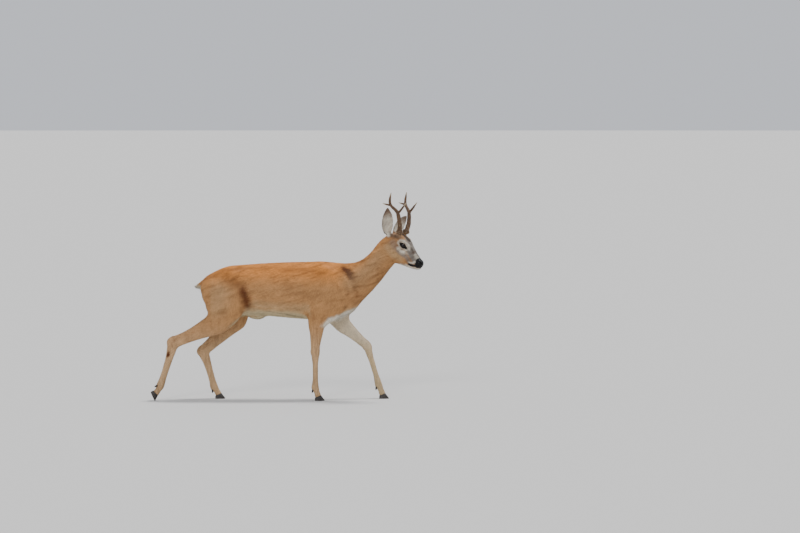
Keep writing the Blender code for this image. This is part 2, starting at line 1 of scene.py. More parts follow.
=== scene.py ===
"""The looks of a life-size roebuck in its red summer coat, walking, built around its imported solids.

The skin is made from the solids of flesh, melted together, softened, sculpted and drawn in by the coat's
depth. The coat is thousands of thin tufts rooted in the skin, which follow the lie of the hair. Skin and coat
share one set of markings. Antlers, eyes, claws and dewclaws are finer copies of their solids.
"""

import math

import bmesh
import bpy
import numpy as np
from bpy.props import FloatProperty, FloatVectorProperty, IntProperty, PointerProperty
from mathutils import Matrix, Vector
from mathutils.bvhtree import BVHTree


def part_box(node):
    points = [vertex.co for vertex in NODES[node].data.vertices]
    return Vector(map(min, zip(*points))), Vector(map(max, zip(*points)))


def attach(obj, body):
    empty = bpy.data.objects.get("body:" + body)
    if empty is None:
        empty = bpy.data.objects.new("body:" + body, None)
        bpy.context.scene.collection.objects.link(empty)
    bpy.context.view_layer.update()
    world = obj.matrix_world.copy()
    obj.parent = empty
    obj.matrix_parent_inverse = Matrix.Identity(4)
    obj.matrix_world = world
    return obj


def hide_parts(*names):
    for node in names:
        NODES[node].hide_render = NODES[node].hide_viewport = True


bl_info = {
    "name": "Roebuck",
    "version": (1, 0, 0),
    "blender": (4, 5, 0),
    "location": "3D View > Sidebar > Roebuck",
    "description": "Skin, coat, antlers, eyes and claws of a walking roebuck, around its packed solids",
    "category": "Object",
}

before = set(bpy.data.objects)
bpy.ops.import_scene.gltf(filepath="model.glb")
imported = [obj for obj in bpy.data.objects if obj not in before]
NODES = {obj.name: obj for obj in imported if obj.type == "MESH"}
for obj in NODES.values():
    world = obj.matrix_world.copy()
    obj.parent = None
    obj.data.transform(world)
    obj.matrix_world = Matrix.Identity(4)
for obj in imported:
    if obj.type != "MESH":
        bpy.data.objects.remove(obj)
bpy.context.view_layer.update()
SIDES = {"right": -1.0, "left": 1.0}
PAIRS = ("fore", "hind")
LEG_PARTS = {
    "fore": ("upper", "forearm", "cannon", "pastern"),
    "hind": ("thigh", "gaskin", "cannon", "pastern"),
}
FLESH_KINDS = ("head", "neck", "trunk", "tail", "ear", *PAIRS)
FLESH = [name for name in sorted(NODES) if name.split("_")[0] in FLESH_KINDS]
MELT = 0.0003  # how much solids are grown, so that neighbours melt together
WELD = 1e-5  # corners closer than this are one
SEAM_REACH = 0.0020  # corners closer than this to a neighbouring solid are on its seam

# The body's own origin lies under the loins, and the head's at the poll, with +X to the nose, +Y to the
# buck's left and +Z out of the forehead. Both are found from the eyes.
HEAD_YAW = math.radians(-30)
HEAD_PITCH = math.radians(32)
POLL = Vector((0.505, -0.004, 0.817))  # over the body's origin
EYE = Vector((0.107, 0.029, 0.019))  # the left eye's centre in the head's frame
EYE_RADIUS = 0.0145


def box_centre(node):
    low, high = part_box(node)
    return (low + high) / 2


HEAD_TURN = Matrix.Rotation(HEAD_YAW, 3, "Z") @ Matrix.Rotation(HEAD_PITCH, 3, "Y")
BETWEEN_EYES = (box_centre("eye_left") + box_centre("eye_right")) / 2
HEAD_ORIGIN = BETWEEN_EYES - HEAD_TURN @ Vector((EYE.x, 0, EYE.z))
BODY_ORIGIN = HEAD_ORIGIN - POLL
TURN = np.array(HEAD_TURN)


def in_body(points):
    return points - np.array(BODY_ORIGIN)


def in_head(points):
    return (points - np.array(HEAD_ORIGIN)) @ TURN


def from_head(points):
    return points @ TURN.T + np.array(HEAD_ORIGIN)


def unit(vectors):
    return vectors / np.maximum(np.linalg.norm(vectors, axis=-1, keepdims=True), 1e-9)


def ramp(values, low, high):
    """0 at low, 1 at high, and smooth between them."""
    share = np.clip((values - low) / (high - low), 0.0, 1.0)
    return share * share * (3 - 2 * share)


def lattice(cells, seed):
    """A number from 0 to 1 for each whole-numbered cell."""
    mixed = cells[:, 0] * 374761393 + cells[:, 1] * 668265263 + cells[:, 2] * 2147483647 + seed * 1442695041
    mixed = (mixed ^ (mixed >> 13)) * 1274126177
    return ((mixed ^ (mixed >> 16)) & 0xFFFF) / 0xFFFF


def noise(points, size, seed=0):
    """Smooth noise from -1 to 1, whose spots have this size or sizes. Each seed gives another pattern."""
    scaled = points / size
    corner = np.floor(scaled).astype(np.int64)
    share = scaled - corner
    share = share * share * (3 - 2 * share)
    total = np.zeros(len(points))
    for step in range(8):
        offset = np.array((step & 1, step >> 1 & 1, step >> 2 & 1))
        weight = np.prod(np.where(offset, share, 1 - share), axis=1)
        total += weight * lattice(corner + offset, seed)
    return total * 2 - 1


def to_line(points, line):
    """Distance from each point to a line of several points, and how far along it that is, from 0 to 1."""
    line = np.asarray(line, float)
    spans = np.linalg.norm(np.diff(line, axis=0), axis=1)
    starts = np.concatenate(([0.0], np.cumsum(spans)))
    nearest, along = np.full(len(points), np.inf), np.zeros(len(points))
    for index, span in enumerate(spans):
        way = (line[index + 1] - line[index]) / max(span, 1e-9)
        share = np.clip((points - line[index]) @ way, 0.0, span)
        gap = np.linalg.norm(points - line[index] - share[:, None] * way, axis=1)
        closer = gap < nearest
        nearest[closer] = gap[closer]
        along[closer] = starts[index] + share[closer]
    return nearest, along / max(starts[-1], 1e-9)


def read(items, field, width, kind=np.float32):
    """A field of all of a mesh's items, as rows of width numbers."""
    flat = np.empty(len(items) * width, kind)
    items.foreach_get(field, flat)
    return flat.reshape(-1, width)


def corners(mesh):
    return read(mesh.vertices, "co", 3).astype(float)


def move_corners(mesh, points):
    mesh.vertices.foreach_set("co", points.astype(np.float32).ravel())
    mesh.update()


def corner_normals(mesh):
    return read(mesh.vertex_normals, "vector", 3).astype(float)


def edge_ends(mesh):
    return read(mesh.edges, "vertices", 2, np.int32)


def triangles(mesh):
    mesh.calc_loop_triangles()
    return read(mesh.loop_triangles, "vertices", 3, np.int32)


def blurred(values, ends, passes, share=0.5):
    """Values of the corners, each drawn towards the mean of its neighbours' values."""
    count = len(values)
    degree = np.maximum(np.bincount(ends.ravel(), minlength=count), 1)
    values = values.reshape(count, -1).copy()
    share = np.broadcast_to(np.asarray(share, float), (count,))
    here, there = ends.T
    for _ in range(passes):
        for column in range(values.shape[1]):
            now = values[:, column]
            total = np.bincount(here, now[there], count) + np.bincount(there, now[here], count)
            values[:, column] = now + share * (total / degree - now)
    return values


def to_mesh(bm, name):
    """A new mesh made from a bmesh, which goes."""
    mesh = bpy.data.meshes.new(name)
    bm.to_mesh(mesh)
    bm.free()
    return mesh


def add_object(name, mesh, *finishes):
    made = bpy.data.objects.new(name, mesh)
    bpy.context.scene.collection.objects.link(made)
    for finish in finishes:
        mesh.materials.append(finish)
    return made


def evaluated(obj, name):
    """A new mesh of obj with its modifiers. The object goes."""
    graph = bpy.context.evaluated_depsgraph_get()
    mesh = bpy.data.meshes.new_from_object(obj.evaluated_get(graph))
    mesh.name = name
    bpy.data.objects.remove(obj)
    return mesh


def joined_copies(names, growth):
    """One bmesh of closed copies of nodes, each grown by a distance so that they reach into each other."""
    whole = bmesh.new()
    for name in names:
        bm = bmesh.new()
        bm.from_mesh(NODES[name].data)
        bmesh.ops.remove_doubles(bm, verts=bm.verts, dist=WELD)
        bm.normal_update()
        for vert, normal in [(vert, vert.normal.copy()) for vert in bm.verts]:
            vert.co += normal * growth
        mesh = to_mesh(bm, name)
        whole.from_mesh(mesh)
        bpy.data.meshes.remove(mesh)
    return whole


def remeshed(names, growth, grain, name):
    """Copies of nodes melted into one closed mesh with even faces."""
    form = add_object(name, to_mesh(joined_copies(names, growth), name))
    melt = form.modifiers.new("melt", "REMESH")
    melt.mode = "VOXEL"
    melt.voxel_size = grain
    return evaluated(form, name)


def seam(first, second):
    """Middle of the cut between two neighbouring nodes."""
    near, verts = BVHTree.FromPolygons(*polygons(NODES[second].data)), NODES[first].data.vertices
    found = [vert.co for vert in verts if near.find_nearest(vert.co, SEAM_REACH)[0] is not None]
    return sum(found, Vector()) / len(found)


def polygons(mesh):
    return [vert.co.copy() for vert in mesh.vertices], [tuple(face.vertices) for face in mesh.polygons]


def leg_line(pair, side):
    """Joints of a leg: top, elbow or stifle, knee or hock, fetlock, coronet."""
    upper, middle, cannon, pastern = (f"{pair}_{part}_{side}" for part in LEG_PARTS[pair])
    low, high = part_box(upper)
    claws = (seam(pastern, f"claw_{pair}_{side}_{hand}") for hand in ("inner", "outer"))
    top = Vector(((low.x + high.x) / 2, (low.y + high.y) / 2, high.z))
    return [top, seam(upper, middle), seam(middle, cannon), seam(cannon, pastern), sum(claws, Vector()) / 2]


# --- Forms of the skin -------------------------------------------------------------------------------------

# Strokes that raise (+) or hollow (-) the skin: (points, radius, height), both sides unless y is 0.
# These points are in the body's frame, with y counted outwards.
BODY_STROKES = (
    (((0.165, 0.03, 0.685), (0.225, 0.065, 0.61), (0.275, 0.072, 0.54)), 0.016, 0.003),  # blade's spine
    (((0.12, 0.06, 0.655), (0.165, 0.08, 0.59)), 0.022, -0.002),  # hollow behind the spine
    (((0.14, 0.085, 0.6), (0.092, 0.09, 0.52), (0.09, 0.08, 0.44)), 0.016, -0.004),  # behind the triceps
    (((0.2, 0.09, 0.54), (0.15, 0.09, 0.48)), 0.03, 0.003),  # triceps
    (((0.255, 0.072, 0.53), (0.225, 0.085, 0.455)), 0.011, -0.0022),  # before the triceps
    (((0.3, 0.045, 0.62), (0.305, 0.06, 0.54), (0.29, 0.062, 0.47)), 0.013, -0.0024),  # before the shoulder
    (((-0.18, 0.08, 0.64), (-0.205, 0.085, 0.59)), 0.026, -0.0045),  # hollow of the flank
    (((-0.225, 0.052, 0.668), (-0.24, 0.066, 0.65)), 0.014, 0.0035),  # hip bone
    (((-0.178, 0.09, 0.565), (-0.17, 0.092, 0.5), (-0.165, 0.078, 0.44)), 0.013, -0.0032),  # flank fold
    (((-0.33, 0.08, 0.61), (-0.395, 0.075, 0.52), (-0.43, 0.07, 0.43)), 0.012, -0.0032),  # back of the thigh
    (((-0.27, 0.09, 0.6), (-0.33, 0.095, 0.48)), 0.03, 0.002),  # thigh muscle
    (((0.1, 0.0, 0.7), (-0.1, 0.0, 0.692), (-0.3, 0.0, 0.678)), 0.009, 0.0014),  # spine
    (((0.3, 0.03, 0.53), (0.39, 0.04, 0.61), (0.475, 0.03, 0.705)), 0.011, -0.003),  # jugular groove
    (((0.29, 0.05, 0.61), (0.38, 0.047, 0.68), (0.455, 0.04, 0.77)), 0.014, 0.0018),  # neck muscle
    (((-0.172, 0.0, 0.405), (-0.125, 0.0, 0.402)), 0.013, 0.004),  # sheath
)
STROKE_REACH = 2.6  # radii, past which a stroke does nothing
RIB_STROKE = ((0.06, 0.09, 0.63), (0.01, 0.11, 0.54), (0.03, 0.095, 0.455))
RIB_COUNT, RIB_STEP, RIB_RADIUS, RIB_HEIGHT = 8, -0.027, 0.0075, -0.0011

# Strokes on the head, in its own frame, both sides unless y is 0.
HEAD_STROKES = (
    (((0.132, 0.034, -0.001), (0.095, 0.041, -0.006), (0.05, 0.042, -0.004)), 0.005, 0.0016),  # cheekbone
    (((0.1, 0.038, -0.02), (0.112, 0.032, -0.05), (0.104, 0.026, -0.075)), 0.006, -0.0018),  # before cheek
    (((0.07, 0.04, -0.03), (0.075, 0.036, -0.062)), 0.016, 0.0018),  # cheek muscle
    (((0.14, 0.032, 0.004), (0.182, 0.025, -0.008)), 0.007, -0.0018),  # hollow before the eye
    (((0.134, 0.019, 0.038), (0.196, 0.015, 0.014)), 0.006, 0.0009),  # edge of the nose bone
    (((0.082, 0.038, 0.042), (0.104, 0.036, 0.045), (0.126, 0.028, 0.038)), 0.005, 0.0008),  # brow
    (((0.068, 0.041, 0.024), (0.078, 0.041, 0.034)), 0.008, -0.0026),  # temple
    (((0.06, 0.0, 0.06), (0.11, 0.0, 0.055)), 0.008, -0.0012),  # between the brows
    (((0.124, 0.033, 0.018), (0.131, 0.0295, 0.017), (0.138, 0.0265, 0.014)), 0.002, -0.0032),  # tear duct
    (((0.128, 0.03, 0.0225), (0.14, 0.0255, 0.0175)), 0.0024, 0.001),  # its upper edge
    (((0.236, 0.0095, -0.0055), (0.235, 0.014, -0.0015), (0.229, 0.018, 0.001), (0.222, 0.02, -0.001)),
     0.0021, -0.006),  # nostril
    (((0.239, 0.01, 0.001), (0.232, 0.017, 0.007), (0.221, 0.0205, 0.005)), 0.0028, 0.0014),  # its wing
    (((0.232, 0.019, -0.008), (0.221, 0.022, -0.008)), 0.0028, 0.001),  # below the nostril
    (((0.245, 0.0, -0.003), (0.245, 0.0, -0.027)), 0.0012, -0.0012),  # cleft of the lip
    (((0.243, 0.0, -0.028), (0.238, 0.01, -0.031), (0.219, 0.0215, -0.0375), (0.189, 0.025, -0.0455)),
     0.0016, -0.003),  # mouth
    (((0.24, 0.006, -0.025), (0.22, 0.022, -0.0315), (0.192, 0.025, -0.04)), 0.0034, 0.001),  # upper lip
    (((0.236, 0.006, -0.0365), (0.216, 0.018, -0.044), (0.192, 0.023, -0.0525)), 0.0036, 0.001),  # lower lip
)

# Strokes along a leg: (bone, share) points with offsets to the front and outwards, then radius and height.
# A negative outward offset lies on the leg's inner side.
FORE_STROKES = (
    (((1, 0.15, -0.03, 0.03), (1, 0.3, -0.026, 0.026)), 0.012, 0.003),  # point of the elbow
    (((1, 0.2, 0.014, 0.024), (1, 0.6, 0.01, 0.02)), 0.012, 0.0018),  # muscle at the front
    (((1, 0.18, -0.006, 0.028), (1, 0.5, -0.004, 0.02), (1, 0.85, -0.004, 0.016)), 0.005, -0.0026),
    (((1, 0.94, 0.018, 0.006), (2, 0.06, 0.018, 0.006)), 0.008, 0.0016),  # knee
    (((1, 1.0, -0.016, 0.0), (2, 0.03, -0.016, 0.0)), 0.008, 0.0024),  # back of the knee
    (((2, 0.12, -0.003, 0.015), (2, 0.85, -0.004, 0.013)), 0.0042, -0.0022),  # before the tendons
    (((2, 0.12, -0.003, -0.015), (2, 0.85, -0.004, -0.013)), 0.0042, -0.0022),
    (((2, 0.97, -0.014, 0.008), (3, 0.1, -0.014, 0.008)), 0.007, 0.0018),  # back of the fetlock
    (((3, 0.3, -0.014, 0.0), (3, 0.6, -0.013, 0.0)), 0.006, -0.0016),  # hollow of the pastern
)
HIND_STROKES = (
    (((1, 0.02, 0.03, 0.01), (1, 0.1, 0.028, 0.01)), 0.014, 0.0025),  # knee cap
    (((1, 0.4, -0.012, 0.022), (1, 0.65, -0.014, 0.018), (1, 0.92, -0.013, 0.014)), 0.0075, -0.0052),
    (((1, 0.4, -0.012, -0.022), (1, 0.65, -0.014, -0.018), (1, 0.92, -0.013, -0.014)), 0.0075, -0.004),
    (((1, 0.3, 0.012, 0.024), (1, 0.65, 0.01, 0.02)), 0.011, 0.0016),  # muscle on the shin
    (((1, 0.97, -0.03, 0.0), (2, 0.03, -0.028, 0.0)), 0.0085, 0.002),  # point of the hock
    (((1, 0.98, 0.004, 0.018), (2, 0.04, 0.004, 0.018)), 0.006, 0.0016),  # outer ankle
    (((2, 0.1, -0.006, 0.016), (2, 0.85, -0.005, 0.014)), 0.0048, -0.0026),  # before the tendons
    (((2, 0.1, -0.006, -0.016), (2, 0.85, -0.005, -0.014)), 0.0048, -0.0026),
    (((2, 0.97, -0.015, 0.008), (3, 0.1, -0.015, 0.008)), 0.007, 0.0018),  # back of the fetlock
    (((3, 0.3, -0.014, 0.0), (3, 0.6, -0.013, 0.0)), 0.006, -0.0016),  # hollow of the pastern
)

# Eyelids, as angles on the eyeball and distances from its surface.
EYE_AXIS = Vector((0.26, 0.93, 0.24)).normalized()  # the way the left eye looks, in the head's frame
EYE_TILT = math.radians(4)  # front corner down, against the head's axis
SLIT_LENGTH, SLIT_ABOVE, SLIT_BELOW = 1.24, 0.78, 0.62  # half-angles of the opening
SLIT_SHAPE = 1.6  # 1 is a diamond, 2 an ellipse
RIM_BEFORE, RIM_BEHIND, RIM_ABOVE, RIM_BELOW = 0.0335, 0.0260, 0.0135, 0.0128  # reach of the bare black skin
RIM_SHAPE = 1.25
FAR_OFF = 9.0  # share of the rim for what lies on the head's other side
LID = 0.0012  # the lid's edge over the eyeball
LID_THICKNESS = 0.0008  # more than that further out
CREASE = 0.0010  # depth of the fold over the lid
BEHIND = 0.0026  # skin behind the eyeball
LID_REACH = 2.2  # eyeball radii, slit shares and radians that the lids reach out

# Ears in the head's frame, as on the left side. The right one stands up, and the left one is held out.
EAR_ROOT = np.array((0.005, 0.034, 0.019))
EAR_WAY = {"right": unit(np.array((-0.32, 0.335, 0.885))), "left": unit(np.array((-0.29, 0.80, 0.52)))}
EAR_OPENING = {"right": unit(np.array((0.62, 0.67, 0.39))), "left": unit(np.array((0.75, -0.12, 0.62)))}
EAR_LENGTH = 0.147
EAR_FOCUS = 0.012  # how far before the ear's middle line its cup is centred


def stroked(points, normals, line, radius, height):
    """Points raised or hollowed along their normals near a line."""
    line, reach = on_skin(line, points), STROKE_REACH * radius
    near = np.all((points > line.min(0) - reach) & (points < line.max(0) + reach), axis=1)
    if near.any():
        gap, _ = to_line(points[near], line)
        points[near] += normals[near] * (height * np.exp(-((gap / radius) ** 2)))[:, None]
    return points


def mirrored_lines(line):
    line = np.asarray(line, float)
    return [line] if not line[:, 1].any() else [line * (1, side, 1) for side in SIDES.values()]


def on_skin(line, points):
    """A line's stations moved to the nearest corners of the skin."""
    return np.array([points[np.argmin(np.sum((points - place) ** 2, axis=1))] for place in line])


def leg_stations(pair, side, line):
    """World points of a stroke's stations on a leg."""
    joints = np.array(leg_line(pair, side))
    found = []
    for bone, share, front, out in line:
        way = unit(joints[bone + 1] - joints[bone])
        ahead = unit(np.array((-way[2], 0.0, way[0])))
        found.append(joints[bone] + (joints[bone + 1] - joints[bone]) * share + ahead * front
                     + np.array((0, SIDES[side] * out, 0)))
    return found


def sculpted(points, normals):
    """The skin with its muscles, bones and tendons."""
    points = in_body(points)
    for line, radius, height in BODY_STROKES:
        for stroke in mirrored_lines(line):
            points = stroked(points, normals, stroke, radius, height)
    for rib in range(RIB_COUNT):
        for stroke in mirrored_lines(np.array(RIB_STROKE) + (rib * RIB_STEP, 0, 0)):
            points = stroked(points, normals, stroke, RIB_RADIUS, RIB_HEIGHT)
    points = points + np.array(BODY_ORIGIN)
    for pair, strokes in (("fore", FORE_STROKES), ("hind", HIND_STROKES)):
        for side in SIDES:
            for line, radius, height in strokes:
                points = stroked(points, normals, leg_stations(pair, side, line), radius, height)
    return points


def sculpted_head(points, normals):
    """The skin with the head's fine forms, which are given in the head's frame."""
    points, normals = in_head(points), normals @ TURN
    for line, radius, height in HEAD_STROKES:
        for stroke in mirrored_lines(line):
            points = stroked(points, normals, stroke, radius, height)
    return from_head(points)


def eye_axes():
    """The ways forwards and upwards on an eyeball, and straight out of it."""
    out = np.array(EYE_AXIS)
    ahead = unit(np.array((math.cos(EYE_TILT), 0, -math.sin(EYE_TILT))) - out * out[0] * math.cos(EYE_TILT))
    up = np.cross(ahead, out)
    return ahead, up if up[2] > 0 else -up, out


def eye_middle(side):
    return from_head(np.array(EYE) * (1, side, 1))


def from_eye(points, side):
    """Points about the middle of an eyeball, in the head's frame, as if on its left."""
    return (in_head(points) - np.array(EYE) * (1, side, 1)) * (1, side, 1)


def eye_angles(points, side):
    """Around each eye: distance from its middle, and angles forwards and upwards on the eyeball."""
    ahead, up, out = eye_axes()
    local = from_eye(points, side)
    facing = local @ out
    return np.linalg.norm(local, axis=1), np.arctan2(local @ ahead, facing), np.arctan2(local @ up, facing)


def almond(forward, above, length, height, shape):
    """1 on the edge of an almond with these half-sizes, and less inside it."""
    return (np.abs(forward / length) ** shape + np.abs(above / height) ** shape) ** (1 / shape)


def slit(ahead, up):
    """Below 0 in the eyelids' opening, 0 on its edge, and 1 half an opening outside it."""
    return almond(ahead, up, SLIT_LENGTH, np.where(up > 0, SLIT_ABOVE, SLIT_BELOW), SLIT_SHAPE) - 1


def rim_share(points, side):
    """Below 1 on the bare skin round an eye, which runs on into the tear duct, and more outside it."""
    ahead, up, out = eye_axes()
    local = from_eye(points, side)
    forward, above = local @ ahead, local @ up
    length = np.where(forward > 0, RIM_BEFORE, RIM_BEHIND)
    height = np.where(above > 0, RIM_ABOVE, RIM_BELOW)
    share = almond(forward, above, length, height, RIM_SHAPE)
    return np.where(local @ out > -EYE_RADIUS, share, FAR_OFF)


def lidded(points):
    """The skin drawn over each eyeball as lids, and behind it in their opening."""
    for side in SIDES.values():
        far, ahead, up = eye_angles(points, side)
        edge = slit(ahead, up)
        near = (far < LID_REACH * EYE_RADIUS) & (edge < LID_REACH) & (np.hypot(ahead, up) < LID_REACH)
        far, edge, up = far[near], edge[near], up[near]
        crease = CREASE * np.exp(-(((edge - 0.45) / 0.12) ** 2)) * np.where(up > 0, 1.0, 0.5)
        lid = EYE_RADIUS + LID + LID_THICKNESS * ramp(edge, 0.10, 0.60) * np.where(up > 0, 1.0, 0.3)
        covered = lid + (np.maximum(lid, far) - lid) * ramp(edge, 0.30, 1.20) - crease
        target = np.where(edge < 0, EYE_RADIUS - BEHIND, covered)
        hold = 1 - ramp(edge, 0.90, 2.00)
        middle = eye_middle(side)
        away = unit(points[near] - middle)
        points[near] = middle + away * (far + (target - far) * hold)[:, None]
    return points


def ear_share(points):
    """1 on the ears, 0 elsewhere."""
    head, found = in_head(points), np.zeros(len(points))
    for name, side in SIDES.items():
        way = EAR_WAY[name] * (1, side, 1)
        local = head - EAR_ROOT * (1, side, 1)
        along = local @ way
        aside = np.linalg.norm(local - along[:, None] * way, axis=1)
        found = np.maximum(found, ramp(along, 0.018, 0.034) * (1 - ramp(aside, 0.036, 0.044)))
    return found


HEAD_HEIGHTS = (0.55, 0.62)  # in the body's frame, where the head begins
LEG_SOFTNESS, FACE_SOFTNESS = 0.25, 0.22
EAR_DEPTH = 0.0003  # of the coat, and comes on top of the others
FACE_DEPTH, LEG_DEPTH, BODY_DEPTH = 0.0010, 0.0012, 0.0034
# Passes and shares of the skin's smoothing: where it is soft, all over, on the face and on the sculpted face.
SMOOTH_SOFT, SMOOTH_ALL, SMOOTH_FACE, SMOOTH_LAST = (45, 0.5), (3, 0.4), (4, 0.5), (2, 0.35)
EYE_ZONE = (np.array((0.112, 0.030, 0.019)), 0.033)  # middle and radius of the finer skin round an eye


def over_head(body):
    """1 at the head's height, 0 below it."""
    return ramp(body[:, 2], *HEAD_HEIGHTS)


def softness(points):
    """How much each corner of the skin is smoothed, from 0 to 1."""
    body, head = in_body(points), in_head(points)
    leg = LEG_SOFTNESS + (1 - LEG_SOFTNESS) * ramp(body[:, 2], 0.30, 0.42)
    face = ramp(head[:, 0] + 0.4 * head[:, 2], -0.01, 0.06) * over_head(body)
    return leg + (FACE_SOFTNESS - leg) * np.maximum(face, ear_share(points))


def coat_depth(points):
    """How deep the skin lies under the tips of the coat."""
    body, head = in_body(points), in_head(points)
    depth = LEG_DEPTH + (BODY_DEPTH - LEG_DEPTH) * ramp(body[:, 2], 0.28, 0.42)
    depth += (FACE_DEPTH - depth) * ramp(head[:, 0], -0.05, 0.02) * over_head(body)
    return EAR_DEPTH + depth * (1 - ear_share(points))


def refined(mesh, zone):
    """Halves the faces of mesh where zone is true of their corners."""
    ends = edge_ends(mesh)
    chosen = np.nonzero(zone[ends[:, 0]] & zone[ends[:, 1]])[0]
    bm = bmesh.new()
    bm.from_mesh(mesh)
    bm.edges.ensure_lookup_table()
    bmesh.ops.subdivide_edges(bm, edges=[bm.edges[index] for index in chosen], cuts=1, use_grid_fill=True)
    bmesh.ops.triangulate(bm, faces=[face for face in bm.faces if len(face.verts) > 4])
    bm.to_mesh(mesh)
    bm.free()
    return mesh


def fine_zone(points):
    """Eyes, nose and mouth."""
    head = in_head(points)
    head[:, 1] = np.abs(head[:, 1])
    middle, radius = EYE_ZONE
    muzzle = (head[:, 0] > 0.180) & (head[:, 1] < 0.05) & (np.abs(head[:, 2]) < 0.10)
    return (np.linalg.norm(head - middle, axis=1) < radius) | muzzle


def smoothed(points, ends, how, where=1.0):
    passes, share = how
    return blurred(points, ends, passes, share * where)


def skin_mesh(grain, triangle_count):
    """The skin, melted from the solids of flesh, softened, drawn in, sculpted and thinned."""
    mesh = remeshed([*FLESH, "eye_left", "eye_right"], MELT, grain, "skin")
    points, ends = corners(mesh), edge_ends(mesh)
    points = smoothed(points, ends, SMOOTH_SOFT, softness(points))
    points = smoothed(points, ends, SMOOTH_ALL)
    move_corners(mesh, points)
    mesh = refined(mesh, fine_zone(points))
    points, ends = corners(mesh), edge_ends(mesh)
    zone = fine_zone(points).astype(float)
    points = smoothed(points, ends, SMOOTH_FACE, zone)
    move_corners(mesh, points)
    normals = corner_normals(mesh)
    points = points - normals * coat_depth(points)[:, None]
    points = lidded(sculpted_head(sculpted(points, normals), normals))
    points = smoothed(points, ends, SMOOTH_LAST, zone)
    move_corners(mesh, points)
    form = add_object("skin", mesh)
    face = form.vertex_groups.new(name="face")
    face.add(np.nonzero(fine_zone(points))[0].tolist(), 1.0, "REPLACE")
    thin = form.modifiers.new("thin", "DECIMATE")
    thin.ratio = triangle_count / (2 * len(mesh.polygons))
    thin.vertex_group = "face"
    thin.invert_vertex_group = True
    return evaluated(form, "skin")


# --- Markings ----------------------------------------------------------------------------------------------

# The patch mask holds dark patches, flecks and the hind gland, and also painted shade in the fold before the
# thigh.
MASKS = ("belly", "white", "patch", "back", "face", "charcoal", "leg", "black")

# Strokes of colour in the body's frame: mask, points, radius, softness and strength. They are on both sides
# unless y is 0, and y counts outwards.
BODY_MARKS = (
    ("patch", ((0.29, 0.042, 0.656), (0.316, 0.05, 0.64), (0.33, 0.056, 0.622)), 0.021, 0.014, 1.0),
    ("patch", ((0.334, 0.058, 0.605), (0.344, 0.055, 0.57), (0.352, 0.05, 0.525)), 0.007, 0.014, 0.65),
    ("patch", ((0.392, 0.04, 0.7), (0.425, 0.041, 0.672), (0.456, 0.042, 0.64)), 0.004, 0.01, 0.4),
    ("patch", ((0.3, 0.06, 0.59), (0.312, 0.058, 0.54)), 0.006, 0.016, 0.35),
    # painted shade: a dark stroke in the fold between flank and thigh, where shade falls
    ("patch", ((-0.214, 0.086, 0.556), (-0.2, 0.088, 0.52), (-0.19, 0.08, 0.476)), 0.021, 0.023, 1.0),
    ("patch", ((-0.29, 0.075, 0.615), (-0.24, 0.08, 0.592)), 0.018, 0.032, 0.42),
    ("patch", ((-0.4, 0.05, 0.64), (-0.3, 0.05, 0.66), (-0.22, 0.05, 0.662)), 0.016, 0.02, 0.35),
    ("patch", ((0.0, 0.06, 0.655), (0.11, 0.06, 0.65), (0.18, 0.06, 0.64)), 0.01, 0.02, 0.35),
    ("patch", ((-0.42, 0.05, 0.59), (-0.35, 0.08, 0.575)), 0.004, 0.012, 0.35),
    ("patch", ((0.124, 0.082, 0.455), (0.136, 0.084, 0.425)), 0.005, 0.01, 0.4),
    ("charcoal", ((-0.085, 0.06, 0.446), (0.0, 0.055, 0.432), (0.082, 0.038, 0.419)), 0.0035, 0.004, 0.7),
    ("white", ((0.188, 0.075, 0.386), (0.222, 0.078, 0.41), (0.262, 0.062, 0.432), (0.305, 0.016, 0.438)),
     0.015, 0.009, 1.0),
    ("white", ((0.165, 0.02, 0.392), (0.22, 0.022, 0.412), (0.285, 0.012, 0.44)), 0.026, 0.014, 1.0),
    ("white", ((0.3, 0.03, 0.44), (0.325, 0.02, 0.45), (0.342, 0.0, 0.465)), 0.015, 0.008, 0.9),
    ("belly", ((0.106, 0.085, 0.478), (0.11, 0.085, 0.44)), 0.005, 0.01, 0.55),
    ("belly", ((-0.15, 0.085, 0.474), (0.09, 0.085, 0.462)), 0.022, 0.024, 0.32),
    ("belly", ((-0.335, 0.085, 0.55), (-0.35, 0.085, 0.48)), 0.05, 0.05, 0.2),
    ("belly", ((0.33, 0.05, 0.6), (0.4, 0.045, 0.66), (0.45, 0.04, 0.72)), 0.04, 0.045, 0.16),
    ("belly", ((-0.452, 0.012, 0.556), (-0.43, 0.02, 0.51)), 0.024, 0.014, 1.0),
    ("white", ((-0.475, 0.0, 0.566), (-0.455, 0.01, 0.558), (-0.43, 0.022, 0.556)), 0.016, 0.008, 0.95),
    ("belly", ((-0.172, 0.0, 0.402), (-0.12, 0.0, 0.4)), 0.022, 0.012, 1.0),
)
